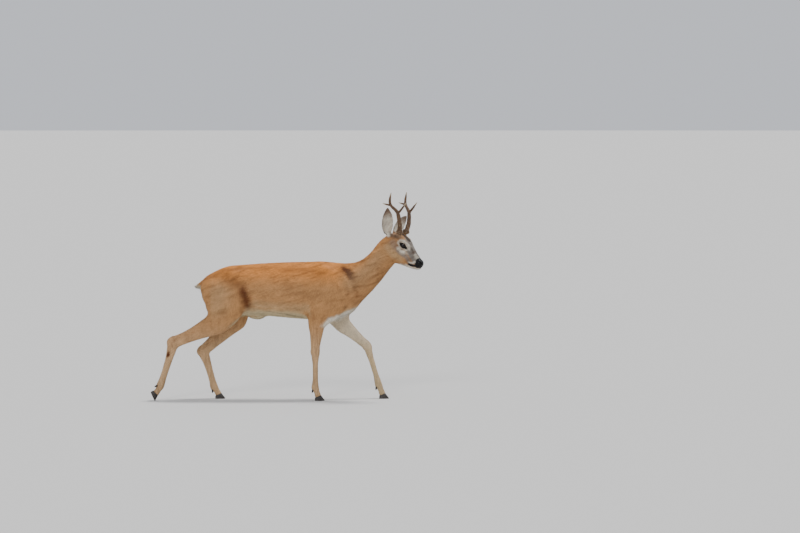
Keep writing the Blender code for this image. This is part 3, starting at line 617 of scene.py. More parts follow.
# The same in the head's frame.
HEAD_MARKS = (
    ("belly", ((0.05, 0.041, -0.03), (0.09, 0.036, -0.045), (0.125, 0.03, -0.045)), 0.022, 0.016, 0.32),
    ("face", ((0.212, 0.0, 0.01), (0.15, 0.0, 0.04), (0.112, 0.0, 0.056)), 0.026, 0.01, 1.0),
    ("face", ((0.148, 0.023, 0.018), (0.176, 0.023, -0.004), (0.204, 0.02, -0.01)), 0.017, 0.009, 1.0),
    ("face", ((0.055, 0.041, 0.004), (0.078, 0.043, -0.006)), 0.019, 0.014, 0.5),
    ("face", ((0.06, 0.03, 0.048), (0.02, 0.025, 0.044), (-0.01, 0.02, 0.03)), 0.02, 0.014, 0.45),
    ("charcoal", ((0.056, 0.0, 0.063), (0.086, 0.0, 0.058), (0.114, 0.0, 0.054)), 0.013, 0.005, 1.0),
    ("charcoal", ((0.15, 0.014, 0.028), (0.166, 0.015, 0.018)), 0.006, 0.006, 0.65),
    ("charcoal", ((0.03, 0.034, 0.04), (0.062, 0.039, 0.042)), 0.01, 0.01, 0.75),
    ("face", ((0.1, 0.042, -0.016), (0.126, 0.038, -0.018), (0.152, 0.029, -0.022), (0.178, 0.024, -0.036)),
     0.0105, 0.008, 0.85),
    ("white", ((0.098, 0.042, -0.002), (0.119, 0.04, -0.006), (0.134, 0.036, -0.005)), 0.008, 0.007, 1.0),
    ("white", ((0.134, 0.036, -0.004), (0.15, 0.028, -0.002)), 0.004, 0.006, 0.6),
    ("white", ((0.084, 0.037, 0.034), (0.103, 0.033, 0.043), (0.12, 0.028, 0.04), (0.136, 0.021, 0.033)),
     0.0058, 0.0045, 1.0),
    ("white", ((0.138, 0.021, 0.032), (0.147, 0.022, 0.019)), 0.004, 0.004, 0.8),
    ("white", ((0.182, 0.013, 0.011), (0.2, 0.012, 0.004)), 0.007, 0.006, 0.6),
    ("white", ((0.18, 0.024, -0.036), (0.194, 0.022, -0.029), (0.203, 0.02, -0.016)), 0.005, 0.004, 0.9),
    ("white", ((0.236, 0.0, -0.05), (0.196, 0.0, -0.066), (0.15, 0.0, -0.078)), 0.019, 0.008, 1.0),
    ("white", ((0.232, 0.01, -0.041), (0.205, 0.015, -0.053), (0.176, 0.017, -0.061)), 0.009, 0.004, 1.0),
    ("white", ((-0.012, 0.05, 0.02), (0.002, 0.052, 0.012), (0.013, 0.048, 0.024)), 0.012, 0.007, 1.0),
    ("white", ((0.012, 0.04, 0.034), (0.002, 0.046, 0.044), (-0.008, 0.05, 0.052)), 0.011, 0.007, 0.9),
    ("charcoal", ((0.001, 0.054, 0.013), (0.002, 0.054, 0.016)), 0.0035, 0.003, 0.9),
    ("black", ((0.215, 0.014, 0.0), (0.219, 0.019, -0.012), (0.224, 0.019, -0.026)), 0.013, 0.003, 1.0),
    ("black", ((0.218, 0.0, 0.006), (0.236, 0.004, -0.004), (0.238, 0.006, -0.022)), 0.0125, 0.003, 1.0),
    ("black", ((0.232, 0.006, -0.01), (0.226, 0.009, -0.014), (0.22, 0.01, -0.018)), 0.014, 0.003, 1.0),
    ("black", ((0.18, 0.021, -0.045), (0.2, 0.02, -0.039), (0.222, 0.02, -0.03)), 0.007, 0.003, 1.0),
)
GLAND = ((2, 0.25, -0.01, 0.016), (2, 0.28, -0.01, 0.016))  # dark brush on the hind cannon's outer side
GLAND_RADIUS, GLAND_SOFTNESS = 0.01, 0.004
LOWER_NECK = ((0.33, 0.0, 0.57), (0.37, 0.0, 0.64), (0.43, 0.0, 0.66))  # line of its mottling
LOWER_NECK_RADIUS, LOWER_NECK_SOFTNESS = 0.072, 0.03
BODY_RAGGED, HEAD_RAGGED = (0.006, 0.014), (0.0012, 0.005)  # how far the marks' edges stray, and how often
BACK_EDGE, LEG_EDGE = (-0.01, 0.11), (0.22, 0.44)  # heights where the back's and the legs' colour fade
MIDLINE = ((-0.45, 0.0, 0.56), (0.26, 0.0, 0.56), (0.4, 0.0, 0.64), (0.52, 0.0, 0.765))


def mark(points, line, radius, softness):
    gap, _ = to_line(points, line)
    return 1 - ramp(gap, radius - softness, radius + softness)


def over_midline(points):
    """Signed distance above the line through the middle of trunk and neck, in side view."""
    line, flat = np.array(MIDLINE), points * (1, 0, 1)
    best, found = np.full(len(points), np.inf), np.zeros(len(points))
    for start, end in zip(line, line[1:]):
        way = (end - start) / np.linalg.norm(end - start)
        share = np.clip((flat - start) @ way, 0, np.linalg.norm(end - start))
        offset = flat - start - share[:, None] * way
        gap = np.linalg.norm(offset, axis=1)
        closer = gap < best
        best[closer] = gap[closer]
        found[closer] = (offset @ np.array((-way[2], 0, way[0])))[closer]
    return found


# Length, width and height of the coat's streaks: long ones along the body, fine ones, and down the legs.
STREAK_WAY, STREAK_ACROSS = np.array((0.958, 0.0, 0.287)), np.array((-0.287, 0.0, 0.958))
LONG_STREAK, FINE_STREAK, LEG_STREAK = (0.060, 0.020, 0.0075), (0.022, 0.008, 0.0035), (0.006, 0.006, 0.050)


def streaks(points):
    """Lighter and darker streaks along the lie of the hair, from 0 to 1."""
    body = in_body(points)
    legs = 1 - ramp(body[:, 2], 0.36, 0.46)
    combed = np.stack([body @ STREAK_WAY, body[:, 1], body @ STREAK_ACROSS], axis=1)
    tone = 0.65 * noise(combed, LONG_STREAK, 41) + 0.35 * noise(combed, FINE_STREAK, 42)
    tone += (0.6 * noise(body, LEG_STREAK, 43) - tone) * legs
    return np.clip(0.5 + 0.5 * tone + 0.12 * noise(points, 0.035, 44), 0, 1)


def strayed(points, how, seeds):
    distance, size = how
    return points + distance * np.stack([noise(points, size, seed) for seed in seeds], axis=1)


def markings(points, normals, ear):
    """Eight masks from 0 to 1 for each point of the skin, in the order of MASKS."""
    body, head = in_body(points), in_head(points)
    ragged, fine = strayed(points, BODY_RAGGED, (1, 2, 3)), strayed(points, HEAD_RAGGED, (4, 5, 6))
    ragged_body, fine_head = in_body(ragged), in_head(fine)
    height, outer = ragged_body[:, 2], np.sign(body[:, 1]) * normals[:, 1]
    face = ramp(head[:, 0], -0.02, 0.02) * ramp(body[:, 2], 0.60, 0.64)
    fore = ramp(body[:, 0], -0.05, 0.05)
    under = ramp(-normals[:, 2], 0.30, 0.80) * (1 - ramp(height, 0.43, 0.50)) * ramp(height, 0.365, 0.390)
    inner = ramp(-outer, 0.10, 0.65) * (1 - ramp(height, 0.40, 0.47))
    flecks = ramp(noise(points, 0.008, 31), 0.00, 0.80) * ramp(noise(points, 0.045, 32), -0.4, 0.3)
    lower_neck = mark(body, LOWER_NECK, LOWER_NECK_RADIUS, LOWER_NECK_SOFTNESS)
    found = {name: np.zeros(len(points)) for name in MASKS}

    def lay(name, share):
        found[name] = np.maximum(found[name], share)

    lay("back", ramp(over_midline(ragged_body), *BACK_EDGE) * (1 - 0.6 * face))
    lay("leg", 1 - ramp(height, *LEG_EDGE))
    lay("belly", np.maximum(under, inner * (0.10 + 0.60 * fore)))
    lay("belly", 0.15 * (1 - ramp(height, 0.14, 0.27)))
    lay("white", 0.45 * inner * fore * ramp(body[:, 2], 0.20, 0.34))
    lay("patch", (0.55 * flecks + 0.14) * lower_neck)
    for marks, strays, place in ((BODY_MARKS, ragged_body, body), (HEAD_MARKS, fine_head, head)):
        for name, line, radius, soft, strength in marks:
            for stroke in mirrored_lines(line):
                lay(name, strength * mark(strays, on_skin(stroke, place), radius, soft))
    rump = ramp(body[:, 0], -0.43, -0.40) * ramp(outer, 0.5, 0.9)
    found["belly"] *= np.where(body[:, 0] < -0.38, 1 - rump, 1.0)
    for side in SIDES:
        gland = on_skin(leg_stations("hind", side, GLAND), points)
        lay("patch", mark(ragged, gland, GLAND_RADIUS, GLAND_SOFTNESS))
    for side in SIDES.values():
        far, ahead, up = eye_angles(points, side)
        lid = (1 - ramp(slit(ahead, up), 0.16, 0.30)) * (far < 1.35 * EYE_RADIUS)
        share = rim_share(points, side) + 0.06 * noise(points, 0.004, 34)
        near = far < 2.4 * EYE_RADIUS
        lay("black", np.maximum(lid, (1 - ramp(share, 0.90, 1.06)) * near))
        lay("white", 0.75 * (1 - ramp(share, 1.30, 1.75)) * near)
    inside, edge, tip = ear
    lined = np.clip(0.85 + 0.35 * noise(head, (0.004, 0.004, 0.030), 33), 0, 1)
    lay("white", inside * (1 - edge) * (1 - 0.9 * tip) * lined)
    lay("face", 0.65 * ear_share(points))
    lay("charcoal", 0.85 * np.maximum(edge * (0.45 + 0.55 * tip), 0.75 * tip))
    return np.stack([found[name] for name in MASKS], axis=1)


# --- Lie, length and roots of the hair ---------------------------------------------------------------------

LIE = {  # the way the hair lies, in the body's frame
    "neck": (-0.72, 0.0, -0.69),
    "trunk": (-1.0, 0.0, -0.3),
    "tail": (-0.55, 0.0, -0.83),
    "fore_upper": (-0.45, 0.0, -0.9),
    "hind_thigh": (-0.5, 0.0, -0.85),
}
HEAD_LIE = (-1.0, 0.0, -0.12)

# Distance between tufts, their length and width, and how far they stand off the skin.
HAIR = {
    "trunk": (0.0032, 0.017, 0.0025, 0.001),
    "neck": (0.003, 0.0165, 0.0023, 0.0012),
    "tail": (0.0028, 0.017, 0.0022, 0.0012),
    "fore_upper": (0.0029, 0.0135, 0.0021, 0.0009),
    "hind_thigh": (0.0029, 0.0145, 0.0021, 0.0009),
    "fore_forearm": (0.0024, 0.0095, 0.0016, 0.0006),
    "hind_gaskin": (0.0025, 0.0105, 0.0017, 0.0007),
    "fore_cannon": (0.0021, 0.007, 0.0013, 0.0005),
    "hind_cannon": (0.0021, 0.0074, 0.0013, 0.0005),
    "fore_pastern": (0.0019, 0.0056, 0.0011, 0.0005),
    "hind_pastern": (0.0019, 0.0056, 0.0011, 0.0005),
    "head": (0.0019, 0.0054, 0.0011, 0.0004),
    "ear": (0.0019, 0.007, 0.001, 0.0005),
}
# Where the hair is longer: points in the body's frame, radius, softness, length and lift added as shares.
LONG_HAIR = (
    (((-0.172, 0.0, 0.4), (-0.13, 0.0, 0.398)), 0.02, 0.012, 1.0, 2.2),  # sheath
    (((-0.1, 0.03, 0.405), (0.08, 0.035, 0.395)), 0.03, 0.02, 0.5, 0.8),  # belly
    (((-0.455, 0.01, 0.56), (-0.44, 0.015, 0.53)), 0.02, 0.012, 0.9, 1.6),  # rump
    (((0.165, 0.02, 0.39), (0.29, 0.01, 0.44)), 0.026, 0.016, 0.6, 0.9),  # brisket
    (((0.33, 0.0, 0.452), (0.338, 0.0, 0.475)), 0.014, 0.01, 0.9, 1.8),  # breast
    (((-0.38, 0.06, 0.54), (-0.4, 0.055, 0.43)), 0.02, 0.015, 0.3, 0.5),  # back of the thigh
)
MUZZLE_SHORT = ((0.13, 0.17), 0.62)  # along the head's X: where the hair gets short, and by how much
EAR_LONGER, EAR_HIGHER = 0.9, 1.2  # length and lift added inside the ears, as shares
SPREAD = 0.11  # how far single tufts stray from the lie
WAVES = 0.35  # how far the lie itself wanders
HAIR_UNITS = 100  # the form of the hair is stored in centimetres


def short_name(name):
    """A flesh node's name without its side."""
    return name.replace("_left", "").replace("_right", "")


def nearest_nodes(points):
    """For each point the index in FLESH of the nearest node."""
    verts, faces, owners = [], [], []
    for index, name in enumerate(FLESH):
        found, shapes = polygons(NODES[name].data)
        faces += [tuple(len(verts) + corner for corner in shape) for shape in shapes]
        verts += found
        owners += [index] * len(shapes)
    tree = BVHTree.FromPolygons(verts, faces)
    return np.array([owners[tree.find_nearest(point)[2]] for point in points])


def way_of_hair(name):
    """The way the hair lies on a node, in the frame of the whole."""
    short = short_name(name)
    if short == "head":
        return TURN @ unit(np.array(HEAD_LIE))
    if short == "ear":
        side = name.split("_")[1]
        return TURN @ (EAR_WAY[side] * (1, SIDES[side], 1))
    if short in LIE:
        return unit(np.array(LIE[short]))
    pair, part, side = name.split("_")
    joints = np.array(leg_line(pair, side))
    bone = LEG_PARTS[pair].index(part)
    return unit(joints[bone + 1] - joints[bone])


def across(vectors, normals):
    """Vectors laid flat on the skin."""
    return unit(vectors - normals * np.sum(vectors * normals, axis=1, keepdims=True))


def ear_form(points, normals, parts):
    """On the ears: 1 on the inner side, 1 along the rim, and 1 at the tip. 0 elsewhere."""
    inside, edge, tip = np.zeros((3, len(points)))
    head, facing = in_head(points), normals @ TURN
    for name, side in SIDES.items():
        chosen = parts == FLESH.index(f"ear_{name}")
        mirror = (1, side, 1)
        local = head[chosen] - EAR_ROOT * mirror
        way = EAR_WAY[name] * mirror
        along = local @ way
        off_focus = local - along[:, None] * way - EAR_OPENING[name] * mirror * EAR_FOCUS
        towards = -np.sum(facing[chosen] * unit(off_focus), axis=1)
        inside[chosen] = ramp(towards, 0.0, 0.35)
        edge[chosen] = 1 - ramp(np.abs(towards), 0.20, 0.60)
        tip[chosen] = ramp(along / EAR_LENGTH, 0.52, 0.90)
    return inside, edge, tip


def hair_form(points, parts, ear, ends):
    """For each corner of the skin: distance between tufts, their length, width and lift."""
    table = np.array([HAIR[short_name(name)] for name in FLESH])
    form = blurred(table[parts], ends, 20)
    body, head = in_body(points), in_head(points)
    for line, radius, soft, longer, higher in LONG_HAIR:
        for stroke in mirrored_lines(line):
            here = mark(body, stroke, radius, soft)
            form[:, 1] *= 1 + longer * here
            form[:, 3] *= 1 + higher * here
    place, share = MUZZLE_SHORT
    form[:, 1:] *= 1 - (1 - share) * (ramp(head[:, 0], *place) * over_head(body))[:, None]
    inside, _, tip = ear
    form[:, 1] *= 1 + EAR_LONGER * inside * (1 - tip)
    form[:, 3] *= 1 + EAR_HIGHER * inside * (1 - tip)
    return form


def point_colours(mesh, name, values):
    """Stores up to four values of each corner as a colour attribute."""
    padded = np.ones((len(values), 4), np.float32)
    padded[:, :values.shape[1]] = values
    layer = mesh.attributes.new(name, "FLOAT_COLOR", "POINT")
    layer.data.foreach_set("color", padded.ravel())


def read_colours(mesh, name):
    return read(mesh.attributes[name].data, "color", 4).astype(float)


# --- Coat --------------------------------------------------------------------------------------------------

# A tuft's corners: 0 to 2 are the root's triangle, 3 to 5 the middle's and 6 the tip.
ALONG_TUFT = (0, 0, 0, 0.5, 0.5, 0.5, 1)
ASIDE_TUFT = (-0.5, 0.5, 0, -0.5, 0.5, 0, 0)
TUFT_CORNERS = len(ALONG_TUFT)
TUFT_FACES = (
    (0, 1, 2), (4, 1, 0), (3, 4, 0), (5, 2, 1), (4, 5, 1),
    (3, 0, 2), (5, 3, 2), (6, 4, 3), (6, 5, 4), (6, 3, 5),
)
ROOT_WIDTH = 0.7  # as a share of the middle's
ROOT_DEPTH = 0.0005  # how far the root goes into the skin
RIDGE = 0.20  # a tuft's thickness as a share of its width
PATCH = 0.003  # a tuft's size on the map
SIDE_LEAN = 0.45  # how much a tuft's edges are shaded as if they turned aside
MOST_TUFTS = 19900  # in one piece


def tuft_mesh(name, roots, middles, tips, flat, up, width, colours, places):
    """Closed tapering slivers. flat and up are the sideways and outward ways at their roots."""
    count = len(roots)
    half = (flat * width[:, None]) / 2
    ridge = up * (width * RIDGE)[:, None]
    sunk = roots - up * ROOT_DEPTH
    foot = ROOT_WIDTH * half
    points = np.stack([sunk - foot, sunk + foot, sunk + ridge,
                       middles - half, middles + half, middles + ridge, tips], axis=1)
    faces = np.array(TUFT_FACES)
    corner_of = (np.arange(count)[:, None, None] * TUFT_CORNERS + faces).reshape(-1)
    mesh = bpy.data.meshes.new(name)
    mesh.vertices.add(count * TUFT_CORNERS)
    mesh.loops.add(len(corner_of))
    mesh.polygons.add(len(corner_of) // 3)
    mesh.vertices.foreach_set("co", points.astype(np.float32).ravel())
    mesh.loops.foreach_set("vertex_index", corner_of.astype(np.int32))
    mesh.polygons.foreach_set("loop_start", np.arange(0, len(corner_of), 3, dtype=np.int32))
    mesh.update(calc_edges=True)
    mesh.shade_smooth()
    for layer, values in colours.items():
        if values.ndim == 2:
            values = np.repeat(values[:, None], TUFT_CORNERS, axis=1)
        point_colours(mesh, layer, values.reshape(-1, values.shape[-1]))
    offset = np.stack([ALONG_TUFT, ASIDE_TUFT], axis=1) * PATCH
    on_map = np.clip(places[:, None] + offset, 0, 1).reshape(-1, 2)[corner_of]
    mesh.uv_layers.new(name="OFBake").data.foreach_set("uv", on_map.astype(np.float32).ravel())
    return mesh


def unwrapped(points, faces):
    """Places of the faces' corners on an unwrap of this part of the skin."""
    used, local = np.unique(faces, return_inverse=True)
    mesh = bpy.data.meshes.new("unwrap")
    mesh.from_pydata(points[used].tolist(), [], local.reshape(-1, 3).tolist())
    sheet = add_object("unwrap", mesh)
    bpy.ops.object.select_all(action="DESELECT")
    sheet.select_set(True)
    bpy.context.view_layer.objects.active = sheet
    bpy.ops.object.mode_set(mode="EDIT")
    bpy.ops.mesh.select_all(action="SELECT")
    bpy.ops.uv.smart_project(angle_limit=math.radians(66), island_margin=0.002)
    bpy.ops.object.mode_set(mode="OBJECT")
    places = read(mesh.uv_layers.active.data, "uv", 2).reshape(-1, 3, 2)
    bpy.data.objects.remove(sheet)
    bpy.data.meshes.remove(mesh)
    return places


def region_of(name, centre):
    """The coat piece that a bit of the skin belongs to, from its node and place in the body's frame."""
    side = "left" if centre[1] > 0 else "right"
    short = short_name(name)
    if short in ("neck", "ear"):
        return f"coat_{short}"
    if short == "head":
        return "coat_head"
    if short in ("trunk", "tail"):
        return f"coat_{'chest' if centre[0] > -0.03 else 'loin'}_{side}"
    return f"coat_{name.split('_')[0]}_{name.split('_')[2]}"


class Skin:
    """The finished skin's corners and all that they carry."""

    def __init__(self, obj):
        mesh = obj.data
        self.points = corners(mesh)
        self.normals = corner_normals(mesh)
        self.faces = triangles(mesh)
        self.marks = {layer: read_colours(mesh, layer) for layer in ("Marks_A", "Marks_B", "Tone")}
        self.lie = read_colours(mesh, "Lie")[:, :3] * 2 - 1
        self.form = read_colours(mesh, "Hair") / HAIR_UNITS
        self.parts = read(mesh.attributes["Part"].data, "value", 1, np.int32)[:, 0]
        self.tree = BVHTree.FromPolygons(self.points.tolist(), self.faces.tolist())

    def regions(self):
        """Faces of each coat piece."""
        centres = in_body(self.points[self.faces].mean(1))
        owners = self.parts[self.faces[:, 0]]
        found = {}
        for index, (owner, centre) in enumerate(zip(owners, centres)):
            found.setdefault(region_of(FLESH[owner], centre), []).append(index)
        return {name: np.array(found[name]) for name in sorted(found)}

    def drawn(self, points):
        """Each point's nearest place on the skin and the skin's normal there."""
        found = [self.tree.find_nearest(point)[:2] for point in points.tolist()]
        return np.array([place for place, _ in found]), np.array([normal for _, normal in found])


def grown_coat(name, skin, faces, settings, random):
    """One piece of coat: tufts rooted all over some of the skin's faces."""
    three = skin.faces[faces]
    sides = skin.points[three]
    area = np.linalg.norm(np.cross(sides[:, 1] - sides[:, 0], sides[:, 2] - sides[:, 0]), axis=1) / 2
    gap = skin.form[three, 0].mean(1) * settings.spacing
    bare = skin.marks["Marks_B"][three, 3].mean(1)
    weight = area / gap ** 2 * (1 - ramp(bare, 0.3, 0.8))
    total = min(weight.sum(), MOST_TUFTS)
    steps = (np.arange(int(total)) + random.random(int(total))) / int(total) * weight.sum()
    chosen = np.minimum(np.searchsorted(np.cumsum(weight), steps), len(faces) - 1)
    first, second = random.random((2, len(chosen)))
    flip = first + second > 1
    first[flip], second[flip] = 1 - first[flip], 1 - second[flip]
    shares = np.stack([1 - first - second, first, second], axis=1)[:, :, None]

    def at_roots(values):
        return (values[three[chosen]] * shares).sum(1)

    roots, normals = at_roots(skin.points), unit(at_roots(skin.normals))
    form = at_roots(skin.form)
    stray = np.stack([noise(roots, 0.025, seed) for seed in (11, 12, 13)], axis=1) * WAVES
    stray += random.normal(0, SPREAD, (len(roots), 3))
    way = across(at_roots(skin.lie) + stray, normals)
    length = form[:, 1] * settings.length * random.uniform(0.75, 1.25, len(roots))
    width = form[:, 2] * settings.width * random.uniform(0.8, 1.2, len(roots))
    lift = form[:, 3] * random.uniform(0.6, 1.4, len(roots))
    clump = noise(roots, 0.012, 14)
    middles, middle_up = skin.drawn(roots + way * (0.5 * length)[:, None])
    tips, tip_up = skin.drawn(roots + way * length[:, None])
    middles += middle_up * (lift * (0.9 + 0.25 * clump))[:, None]
    tips += tip_up * (lift * (1.15 + 0.5 * clump))[:, None]
    strand = np.empty((len(roots), TUFT_CORNERS, 2))
    strand[:, :, 0] = ALONG_TUFT
    strand[:, :, 1] = random.random(len(roots))[:, None]
    colours = {layer: at_roots(values) for layer, values in skin.marks.items()}
    colours["Strand"] = strand
    places = (unwrapped(skin.points, three)[chosen] * shares).sum(1)
    flat = np.cross(way, normals)
    mesh = tuft_mesh(name, roots, middles, tips, flat, normals, width, colours, places)
    lean = SIDE_LEAN * flat
    smooth = np.stack([normals - lean, normals + lean, normals,
                       middle_up - lean, middle_up + lean, middle_up, tip_up], axis=1)
    mesh.normals_split_custom_set_from_vertices(unit(smooth).reshape(-1, 3).tolist())
    return mesh


# --- Antlers, eyes, claws ----------------------------------------------------------------------------------

ANTLER_PARTS = ("beam", "front_tine", "rear_tine", "upper_beam")
SMOOTH_ANTLER, SMOOTH_BEADS, SMOOTH_HORN = (8, 0.5), (1, 0.3), (5, 0.5)  # passes and shares
BURR_HEIGHT, GROOVE_DEPTH = 0.0020, 0.0008
CORNEA = 0.0007  # how far the clear bulge stands out
EYE_SINK = 0.0002  # how much smaller the eyeball is than its solid
PUPIL = (0.52, 0.30)  # half-angles of the pupil, a level slot
CORONET_REACH = 0.0021  # how far the claws reach up into the coat over the coronet
SOLE_HEIGHT = 0.0006  # what lies lower than this is the sole


def antler_mesh(side, settings):
    """One antler: its beam and tines melted together, beaded below, grooved along, and smooth at the tips."""
    names = [f"antler_{side}_{part}" for part in ANTLER_PARTS]
    mesh = remeshed(names, MELT, settings.grain, f"antler_{side}")
    ends = edge_ends(mesh)
    points = smoothed(corners(mesh), ends, SMOOTH_ANTLER)
    move_corners(mesh, points)
    normals, head = corner_normals(mesh), in_head(points)
    tips = []
    for part in ANTLER_PARTS[1:]:
        found = in_head(corners(NODES[f"antler_{side}_{part}"].data))
        root = found[np.argmin(found[:, 2])]
        if part == "rear_tine":
            root = found[np.argmax(found[:, 0])]
        tips.append(found[np.argmax(np.linalg.norm(found - root, axis=1))])
    off_tip = np.min([np.linalg.norm(head - tip, axis=1) for tip in tips], axis=0)
    above = head[:, 2] - head[:, 2].min()
    polished = 1 - ramp(off_tip, 0.006, 0.024)
    low = 1 - ramp(above, 0.030, 0.105)
    beads = ramp(noise(head * (1, 1, 0.75), 0.0034, 21), 0.10, 0.65) * (0.20 + 0.80 * low)
    burr = np.exp(-(((above - 0.010) / 0.0045) ** 2)) * ramp(noise(head, 0.0032, 22), -0.8, 0.7)
    grooves = ramp(noise(head * (1, 1, 0.12), 0.0030, 23), -0.1, 0.7)
    rough = 1 - polished
    height = settings.beads * (beads + 0.5 * noise(head, 0.0020, 24) * low)
    height += BURR_HEIGHT * burr - GROOVE_DEPTH * grooves
    points = points + normals * (height * rough)[:, None]
    move_corners(mesh, smoothed(points, ends, SMOOTH_BEADS))
    raised = np.clip(beads + burr, 0, 1)
    point_colours(mesh, "Bone", np.stack([polished, raised * rough, grooves * rough], axis=1))
    return mesh


def eye_mesh(side):
    """An eyeball with a clear bulge before the iris."""
    mirror = (1, SIDES[side], 1)
    ahead, up, out = eye_axes()
    bm = bmesh.new()
    bmesh.ops.create_uvsphere(bm, u_segments=64, v_segments=40, radius=1.0)
    bm.transform(Vector((0, 0, 1)).rotation_difference(Vector(TURN @ (out * mirror))).to_matrix().to_4x4())
    mesh = to_mesh(bm, f"eye_{side}")
    rays = corners(mesh)
    local = (rays @ TURN) * mirror
    facing = local @ out
    angle = np.arccos(np.clip(facing, -1, 1))
    bulge = CORNEA * (1 - ramp(angle, 0.45, 0.95))
    move_corners(mesh, eye_middle(SIDES[side]) + rays * (EYE_RADIUS - EYE_SINK + bulge)[:, None])
    length, height = PUPIL
    slot = np.hypot(np.arctan2(local @ ahead, facing) / length, np.arctan2(local @ up, facing) / height)
    point_colours(mesh, "Eye", np.stack([1 - ramp(slot, 0.85, 1.10), 1 - ramp(angle, 0.86, 0.98)], axis=1))
    return mesh


def horn_mesh(names, grain, name):
    """Claws with rounded edges; what touches the floor stays flat."""
    mesh = remeshed(names, 0.0, grain, name)
    points = corners(mesh)
    sole = points[:, 2] < SOLE_HEIGHT
    soft = smoothed(points, edge_ends(mesh), SMOOTH_HORN)
    soft[sole, 2] = np.maximum(soft[sole, 2] * 0.2, 0.0)
    soft[:, 2] = np.maximum(soft[:, 2], 0.0 if sole.any() else soft[:, 2].min())
    move_corners(mesh, soft)
    kind, pair, side, _ = names[0].split("_")
    if kind == "claw":
        *_, fetlock, coronet = leg_line(pair, side)
        way = np.array((fetlock - coronet).normalized())
        facing = ramp(corner_normals(mesh) @ way, 0.30, 0.80)
        near = 1 - ramp(np.abs((soft - np.array(coronet)) @ way), 0.008, 0.012)
        move_corners(mesh, soft + way * (CORONET_REACH * facing * near)[:, None])
    return mesh


LASH_COUNT, LASH_LENGTH, LASH_WIDTH = 26, 0.0085, 0.00035  # on each upper lid
LASH_ANGLES = (-0.88, 0.80)  # of the first and last, forwards on the eyeball
LASHES_OVER = 1.08  # their height on the eyeball, as a share of the opening's edge
WHISKER_WIDTH = 0.00030
DROOP = 0.12  # of lashes and whiskers, as a share of their length
# Rows of whiskers in the head's frame, on both sides: first and last root, way, count and length.
WHISKER_ROWS = (
    ((0.236, 0.016, -0.01), (0.206, 0.024, -0.02), (-0.35, 0.75, -0.25), 9, 0.013),
    ((0.239, 0.013, -0.018), (0.208, 0.023, -0.028), (-0.3, 0.7, -0.45), 9, 0.012),
    ((0.228, 0.01, -0.05), (0.194, 0.018, -0.06), (-0.1, 0.35, -0.9), 8, 0.012),
    ((0.11, 0.034, 0.046), (0.096, 0.036, 0.046), (0.1, 0.7, 0.6), 3, 0.013),
)


def whisker_mesh(name, roots, ways, lengths, width):
    """Single long hairs that stand straight off the skin, and droop a little."""
    up = unit(np.cross(ways, np.roll(ways, 1, axis=1)))
    flat = np.cross(ways, up)
    bend = np.array((0, 0, -1)) * (DROOP * lengths)[:, None]
    middles = roots + ways * (0.5 * lengths)[:, None] - 0.15 * bend
    tips = roots + ways * lengths[:, None] + bend
    count = len(roots)
    strand = np.full((count, TUFT_CORNERS, 2), 0.5)
    strand[:, :, 0] = ALONG_TUFT
    places = (np.arange(count)[:, None] + 0.5) / count * (1, 1)
    return tuft_mesh(name, roots, middles, tips, flat, up, np.full(count, width), {"Strand": strand}, places)


def lashes_of(side):
    """Roots and ways of the lashes along an upper lid."""
    ahead, up, out = eye_axes()
    forward = np.linspace(*LASH_ANGLES, LASH_COUNT)
    over = LASHES_OVER * SLIT_ABOVE * (1 - np.abs(forward / SLIT_LENGTH) ** SLIT_SHAPE) ** (1 / SLIT_SHAPE)
    rays = unit(out + np.tan(forward)[:, None] * ahead + np.tan(over)[:, None] * up)
    ways = unit(rays + 0.45 * up + 0.25 * out)
    roots = np.array(EYE) + rays * (EYE_RADIUS + LID * 0.6)
    mirror = (1, SIDES[side], 1)
    return from_head(roots * mirror), (ways * mirror) @ TURN.T


def whisker_rows(skin):
    """Roots, ways and lengths of the whiskers round the mouth and over the eyes."""
    roots, ways, lengths = [], [], []
    for first, last, way, count, length in WHISKER_ROWS:
        for side in SIDES.values():
            mirror = (1, side, 1)
            for step in range(count):
                share = step / (count - 1)
                stray = (0.25 - 0.5 * share, 0, 0.12 * math.sin(5.0 * step))
                roots.append((np.array(first) * (1 - share) + np.array(last) * share) * mirror)
                ways.append(unit(np.array(way) + stray) * mirror)
                lengths.append(length * (0.7 + 0.3 * math.cos(3.0 * step)))
    places, _ = skin.drawn(from_head(np.array(roots)))
    return places, np.array(ways) @ TURN.T, np.array(lengths)


# --- Materials ---------------------------------------------------------------------------------------------


